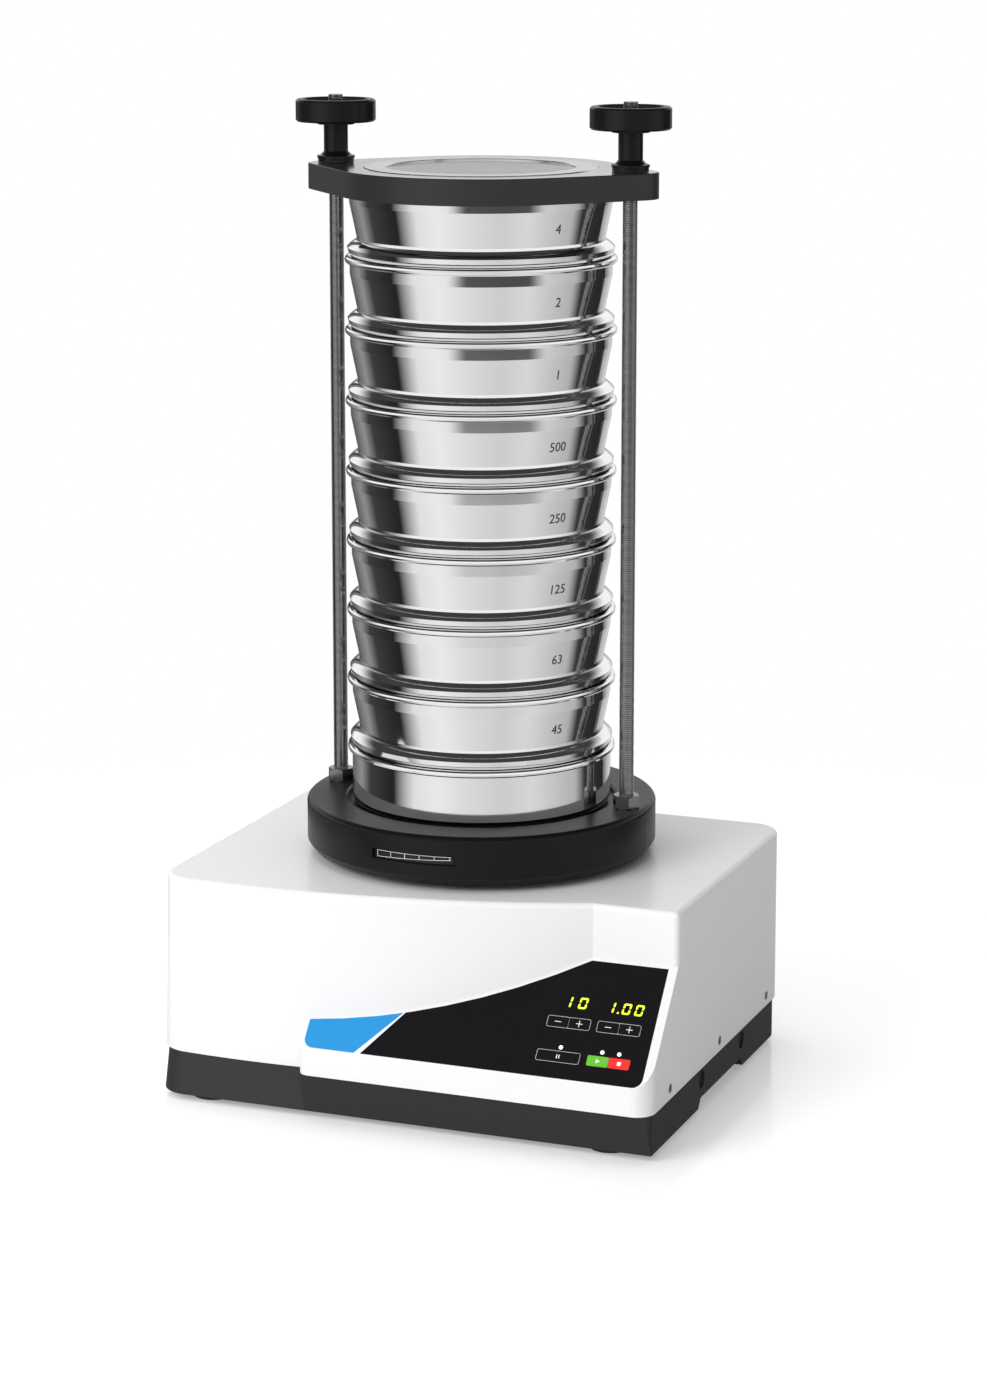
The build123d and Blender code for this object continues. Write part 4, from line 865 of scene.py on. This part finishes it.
class SHAKER_OT_finishes(bpy.types.Operator):
    """Gives every CAD node its finish, and the panel its two colours"""

    bl_idname = "shaker.finishes"
    bl_label = "Finishes"

    def execute(self, context):
        for name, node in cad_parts.items():
            finish = material(finish_of(name))
            for place in node.material_slots:
                place.material = finish
            if not node.material_slots:
                node.data.materials.append(finish)
        self.colour_panel(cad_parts["panel_fascia"].data)
        self.colour_lid(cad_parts["clamping_lid"].data)
        return {"FINISHED"}

    def colour_lid(self, mesh):
        """The flat top of the lid gets a bright metal finish, a painted reflection of the white studio on the
        black lid; its side is painted.
        """
        mesh.materials.append(material("lid_top"))
        last = len(mesh.materials) - 1
        for face in mesh.polygons:
            if face.normal.z > 0.9 and face.center.z > (LID_TOP_Z - 1.0) * MM:
                face.material_index = last

    def colour_panel(self, mesh):
        """The left overlay of the panel is blue: its faces lie left of the slanting gap."""
        mesh.materials.append(material("panel_blue"))
        last = len(mesh.materials) - 1
        for face in mesh.polygons:
            drop = PANEL_TOP_Z * MM - face.center.z
            if face.center.x < PANEL_SPLIT_X * MM - PANEL_SPLIT_SLOPE * drop:
                face.material_index = last


class SHAKER_OT_rods(bpy.types.Operator):
    """Winds the thread of the two clamping rods"""

    bl_idname = "shaker.rods"
    bl_label = "Threaded rods"

    def execute(self, context):
        size = sizes()
        low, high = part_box("clamping_rods")
        turns = (high[2] - low[2]) / size.thread_pitch - 1.0
        values = {
            "Turns": turns,
            "Steps": size.thread_steps,
            "Pitch": size.thread_pitch,
            "Radius": size.thread_radius,
            "Depth": size.thread_depth,
            "Bottom": low[2] + size.thread_pitch / 2,
            "Spacing": 2 * ROD_X * MM,
            "Axis Y": STACK_Y * MM,
            "Material": material("thread"),
        }
        rods = apply_nodes("threaded_rods", thread_tree(), values)
        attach(rods, "sieve_head")
        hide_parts("clamping_rods")
        return {"FINISHED"}


class SHAKER_OT_meshes(bpy.types.Operator):
    """Weaves the wire of the three coarsest sieves"""

    bl_idname = "shaker.meshes"
    bl_label = "Woven meshes"

    def execute(self, context):
        tree = weave_tree()
        for index, (pitch, wire) in WOVEN.items():
            values = {
                "Count": int(2 * MESH_R / pitch) - 1,
                "Pitch": pitch * MM,
                "Wire": wire * MM,
                "Radius": (MESH_R - 0.1) * MM,
                "Height": (JOINT_Z + (index - 1) * SIEVE_PITCH + MESH_Z + 0.3) * MM,
                "Axis Y": STACK_Y * MM,
                "Material": material("plain_steel"),
            }
            disc = apply_nodes(f"woven_mesh_{index}", tree, values)
            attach(disc, f"sieve_{index}")
            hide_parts(f"sieve_{index}_mesh")
        return {"FINISHED"}


class SHAKER_OT_panel(bpy.types.Operator):
    """Draws the digits, the key outlines and the key symbols on the panel"""

    bl_idname = "shaker.panel"
    bl_label = "Panel marks"

    def execute(self, context):
        line = sizes().line_width / MM
        digits = Marks(PRINT_BASE)
        for digit in DIGITS:
            lit_digit(digits, *digit)
        digits.plate(POINT)
        digits.build("display_digits", "digits", "housing")
        outlines = Marks(PRINT_BASE)
        for x, s in KEY_BOXES:
            outlines.frame(x, s, KEY_BOX_WIDTH + 2 * line, KEY_BOX_HEIGHT + 2 * line, KEY_BOX_CORNER, line)
        for x in KEY_PAIR_XS:
            outlines.bar(x - line / 2, x + line / 2, 50.6, 59.2)
        outlines.build("key_outlines", "print", "housing")
        for key, (x, s, symbol) in KEY_SYMBOLS.items():
            marks = Marks(KEY_TOP)
            self.symbol(marks, symbol, x, s)
            marks.build(f"{key}_symbol", "print_white", key)
        return {"FINISHED"}

    def symbol(self, marks, symbol, x, s):
        if symbol in ("minus", "plus"):
            marks.bar(x - 2.6, x + 2.6, s - 0.25, s + 0.25)
        if symbol == "plus":
            marks.bar(x - 0.25, x + 0.25, s - 2.6, s - 0.25)
            marks.bar(x - 0.25, x + 0.25, s + 0.25, s + 2.6)
        if symbol == "pause":
            for side in (-1, 1):
                marks.bar(x + side * 0.9 - 0.35, x + side * 0.9 + 0.35, s - 1.5, s + 1.5)
        if symbol == "start":
            marks.plate([(x - 1.3, s - 1.7), (x + 1.9, s), (x - 1.3, s + 1.7)])
        if symbol == "stop":
            marks.bar(x - 1.5, x + 1.5, s - 1.5, s + 1.5)


class SHAKER_OT_scale(bpy.types.Operator):
    """Prints the swing scale in the slot of the sieve plate"""

    bl_idname = "shaker.scale"
    bl_label = "Swing scale"

    def execute(self, context):
        points, faces = [], []
        radius, thick = SCALE_R, SCALE_THICKNESS
        low, mid, high = SCALE_LOW, SCALE_MIDDLE, SCALE_HIGH
        arc_strip(points, faces, radius, thick, SCALE_ANGLES, ((high - 0.35, high), (high - 0.35, high)))
        arc_strip(points, faces, radius, thick, SCALE_ANGLES, ((low, low + 0.3), (mid, mid + 0.3)))
        for index in range(6):
            angle = SCALE_ANGLES[0] + index * SCALE_STEP
            foot = low + (mid - low) * index / 5.1
            arc_strip(points, faces, radius, thick, (angle, angle + 0.15), ((foot, high), (foot, high)))
        add_mesh("swing_scale", points, faces, "print_white", "sieve_head")
        return {"FINISHED"}


class SHAKER_OT_numbers(bpy.types.Operator):
    """Marks each sieve with a plain number"""

    bl_idname = "shaker.numbers"
    bl_label = "Sieve numbers"

    def execute(self, context):
        for index, text in enumerate(SIEVE_NUMBERS, start=1):
            self.mark(index, text)
        return {"FINISHED"}

    def mark(self, index, text):
        """Wraps the number round the sloping wall of the sieve."""
        curve = bpy.data.curves.new(f"number_{index}", "FONT")
        curve.body = text
        curve.size = sizes().number_size
        curve.align_x = "CENTER"
        curve.align_y = "CENTER"
        curve.extrude = 0.00009
        curve.resolution_u = 3
        holder = bpy.data.objects.new(f"number_{index}_text", curve)
        bpy.context.scene.collection.objects.link(holder)
        depsgraph = bpy.context.evaluated_depsgraph_get()
        depsgraph.update()
        mesh = bpy.data.meshes.new_from_object(holder.evaluated_get(depsgraph))
        bpy.data.objects.remove(holder)
        bpy.data.curves.remove(curve)
        middle = math.radians(NUMBER_ANGLE - 90.0)
        base = (JOINT_Z + (index - 1) * SIEVE_PITCH + NUMBER_RISE) * MM
        for vertex in mesh.vertices:
            across, up, out = vertex.co
            height = NUMBER_RISE * MM + up
            wall = (WALL_FOOT_R * MM) + (height - WALL_FOOT_RISE * MM) * WALL_FLARE / WALL_HEIGHT
            radius = wall + out + 0.00006
            angle = middle + across / radius
            vertex.co = Vector((radius * math.cos(angle), STACK_Y * MM + radius * math.sin(angle), base + up))
        mesh.materials.clear()
        mesh.materials.append(material("engraved"))
        mesh.update()
        piece = bpy.data.objects.new(f"number_{index}", mesh)
        bpy.context.scene.collection.objects.link(piece)
        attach(piece, f"sieve_{index}")


class SHAKER_OT_stage(bpy.types.Operator):
    """Sets the pale floor, the studio, the lights and the camera"""

    bl_idname = "shaker.stage"
    bl_label = "Stage"

    def execute(self, context):
        self.floor()
        self.studio(context.scene)
        self.lights()
        self.camera(context.scene)
        context.scene.view_settings.view_transform = "Standard"
        return {"FINISHED"}

    def floor(self):
        size = 60.0
        mesh = bpy.data.meshes.new("floor")
        corners = [(-size, -size, 0), (size, -size, 0), (size, size, 0), (-size, size, 0)]
        mesh.from_pydata(corners, [], [(0, 1, 2, 3)])
        floor = bpy.data.objects.new("floor", mesh)
        bpy.context.scene.collection.objects.link(floor)
        made, shader = principled("floor_white", (0.8, 0.8, 0.8), 0.14)
        shader.inputs["Emission Color"].default_value = (1.0, 1.0, 1.0, 1.0)
        shader.inputs["Emission Strength"].default_value = 0.3
        nodes, links = made.node_tree.nodes, made.node_tree.links
        # Away from the machine the floor turns pure white, so no horizon shows.
        coords = nodes.new("ShaderNodeTexCoord")
        length = nodes.new("ShaderNodeVectorMath")
        length.operation = "LENGTH"
        far = nodes.new("ShaderNodeMapRange")
        far.interpolation_type = "SMOOTHSTEP"
        far.inputs["From Min"].default_value = 0.45
        far.inputs["From Max"].default_value = 1.1
        white = nodes.new("ShaderNodeEmission")
        edge = nodes.new("ShaderNodeMixShader")
        links.new(coords.outputs["Object"], length.inputs[0])
        links.new(length.outputs["Value"], far.inputs["Value"])
        links.new(far.outputs["Result"], edge.inputs["Fac"])
        links.new(shader.outputs["BSDF"], edge.inputs[1])
        links.new(white.outputs["Emission"], edge.inputs[2])
        # Reflections look past the floor to the studio screens.
        clear = nodes.new("ShaderNodeBsdfTransparent")
        rays = nodes.new("ShaderNodeLightPath")
        mix = nodes.new("ShaderNodeMixShader")
        out = nodes["Material Output"]
        links.new(rays.outputs["Is Glossy Ray"], mix.inputs["Fac"])
        links.new(edge.outputs["Shader"], mix.inputs[1])
        links.new(clear.outputs["BSDF"], mix.inputs[2])
        links.new(mix.outputs["Shader"], out.inputs["Surface"])
        mesh.materials.append(made)

    def studio(self, scene):
        """The surroundings: white to the camera, and light and dark screens in reflections."""
        world = bpy.data.worlds.new("studio")
        scene.world = world
        world.use_nodes = True
        nodes, links = world.node_tree.nodes, world.node_tree.links
        nodes.clear()
        coords = nodes.new("ShaderNodeTexCoord")
        split = nodes.new("ShaderNodeSeparateXYZ")
        links.new(coords.outputs["Generated"], split.inputs["Vector"])

        def maths(operation, first, second=0.0):
            node = nodes.new("ShaderNodeMath")
            node.operation = operation
            for index, value in enumerate((first, second)):
                if isinstance(value, (int, float)):
                    node.inputs[index].default_value = value
                else:
                    links.new(value, node.inputs[index])
            return node.outputs[0]

        back = maths("MULTIPLY", split.outputs["Y"], -1.0)
        turn = maths("ARCTAN2", split.outputs["X"], back)
        turn = maths("SUBTRACT", turn, math.radians(CAMERA_AZIMUTH))
        share = maths("FRACT", maths("ADD", maths("DIVIDE", turn, 2 * math.pi), 0.5))
        ramp = nodes.new("ShaderNodeValToRGB")
        links.new(share, ramp.inputs["Fac"])
        spread = ramp.color_ramp.elements
        while len(spread) > 1:
            spread.remove(spread[-1])
        spread[0].position = 0.0
        spread[0].color = (SCREENS[0][1],) * 3 + (1.0,)
        for degrees, value in SCREENS[1:]:
            stop = spread.new((degrees + 180.0) / 360.0)
            stop.color = (value, value, value, 1.0)
        rise = maths("ARCSINE", split.outputs["Z"])

        def fade(value, start, end):
            """0 at the start angle, 1 at the end angle, smooth between them."""
            node = nodes.new("ShaderNodeMapRange")
            node.interpolation_type = "SMOOTHSTEP"
            node.inputs["From Min"].default_value = math.radians(start)
            node.inputs["From Max"].default_value = math.radians(end)
            links.new(value, node.inputs["Value"])
            return node.outputs["Result"]

        # The side screens stand below the top of the stack; above them all round is white.
        below = fade(rise, 9.0, 2.0)
        # A low dark screen stands in front, so upright walls show a dark band.
        aside = maths("ABSOLUTE", maths("SUBTRACT", turn, math.radians(15.0)))
        upright = maths("MULTIPLY", fade(rise, -13.0, -7.0), fade(rise, 3.0, -3.0))
        screen = maths("MULTIPLY", upright, fade(aside, 46.0, 26.0))
        # Overhead and the floor close by are dark, so rolled edges get dark lines.
        steep = maths("MAXIMUM", fade(rise, 18.0, 34.0), fade(rise, -42.0, -56.0))
        shade = maths("MAXIMUM", maths("MULTIPLY", screen, 0.9), maths("MULTIPLY", steep, 0.95))
        level = nodes.new("ShaderNodeMix")
        level.inputs["A"].default_value = 1.0
        links.new(below, level.inputs["Factor"])
        links.new(ramp.outputs["Color"], level.inputs["B"])
        seen = maths("MULTIPLY", level.outputs["Result"], maths("SUBTRACT", 1.0, shade))
        mirror = nodes.new("ShaderNodeBackground")
        links.new(seen, mirror.inputs["Color"])
        # The diffuse light comes from the front and the left, so the right wall stays grey.
        lit_side = nodes.new("ShaderNodeVectorMath")
        lit_side.operation = "DOT_PRODUCT"
        lit_side.inputs[1].default_value = (-0.55, -0.8, 0.24)
        links.new(coords.outputs["Generated"], lit_side.inputs[0])
        ambient = nodes.new("ShaderNodeMapRange")
        ambient.inputs["From Min"].default_value = -0.6
        ambient.inputs["From Max"].default_value = 0.8
        ambient.inputs["To Min"].default_value = 0.2
        ambient.inputs["To Max"].default_value = 0.95
        links.new(lit_side.outputs["Value"], ambient.inputs["Value"])
        soft = nodes.new("ShaderNodeBackground")
        links.new(ambient.outputs["Result"], soft.inputs["Color"])
        rays = nodes.new("ShaderNodeLightPath")
        mix = nodes.new("ShaderNodeMixShader")
        links.new(rays.outputs["Is Glossy Ray"], mix.inputs["Fac"])
        links.new(soft.outputs["Background"], mix.inputs[1])
        links.new(mirror.outputs["Background"], mix.inputs[2])
        plain = nodes.new("ShaderNodeBackground")
        plain.inputs["Color"].default_value = (1.0, 1.0, 1.0, 1.0)
        last = nodes.new("ShaderNodeMixShader")
        links.new(rays.outputs["Is Camera Ray"], last.inputs["Fac"])
        links.new(mix.outputs["Shader"], last.inputs[1])
        links.new(plain.outputs["Background"], last.inputs[2])
        out = nodes.new("ShaderNodeOutputWorld")
        links.new(last.outputs["Shader"], out.inputs["Surface"])

    def lights(self):
        aim = Vector((0.0, 0.0, 0.25))
        for name, place, size, power in (
            ("key_light", (-1.4, -2.6, 1.9), 1.8, 58.0),
            ("fill_light", (2.6, -1.4, 1.6), 1.6, 1.0),
            ("top_light", (-0.4, 0.4, 3.0), 2.2, 26.0),
        ):
            data = bpy.data.lights.new(name, "AREA")
            data.size = size
            data.energy = power
            light = bpy.data.objects.new(name, data)
            bpy.context.scene.collection.objects.link(light)
            light.location = place
            light.rotation_euler = (aim - Vector(place)).to_track_quat("-Z", "Y").to_euler()
            light.visible_glossy = False

    def camera(self, scene):
        data = bpy.data.cameras.new("camera")
        data.lens = CAMERA_LENS
        data.sensor_width = 36.0
        data.shift_x, data.shift_y = CAMERA_SHIFT
        data.clip_end = 200.0
        camera = bpy.data.objects.new("camera", data)
        scene.collection.objects.link(camera)
        camera.location = CAMERA_PLACE
        camera.rotation_euler = (math.radians(90.0 - CAMERA_PITCH), 0.0, math.radians(CAMERA_AZIMUTH))
        scene.camera = camera


OPERATORS = (
    SHAKER_OT_finishes,
    SHAKER_OT_rods,
    SHAKER_OT_meshes,
    SHAKER_OT_panel,
    SHAKER_OT_scale,
    SHAKER_OT_numbers,
    SHAKER_OT_stage,
)


class SHAKER_PT_sidebar(bpy.types.Panel):
    """Lists the pieces of the sieve shaker and their settings"""

    bl_label = "Sieve Shaker"
    bl_idname = "SHAKER_PT_sidebar"
    bl_space_type = "VIEW_3D"
    bl_region_type = "UI"
    bl_category = "Sieve Shaker"

    def draw(self, context):
        layout = self.layout
        for operator in OPERATORS:
            layout.operator(operator.bl_idname)
        for group in (context.scene.shaker_sizes, context.scene.shaker_colours):
            for name in group.__annotations__:
                layout.prop(group, name)


CLASSES = (ShakerSizes, ShakerColours, *OPERATORS, SHAKER_PT_sidebar)


def register():
    for cls in CLASSES:
        bpy.utils.register_class(cls)
    bpy.types.Scene.shaker_sizes = PointerProperty(type=ShakerSizes)
    bpy.types.Scene.shaker_colours = PointerProperty(type=ShakerColours)


def unregister():
    del bpy.types.Scene.shaker_colours
    del bpy.types.Scene.shaker_sizes
    for cls in reversed(CLASSES):
        bpy.utils.unregister_class(cls)


def main():
    register()
    for operator in OPERATORS:
        group, name = operator.bl_idname.split(".")
        getattr(getattr(bpy.ops, group), name)()


if __name__ == "__main__":
    main()
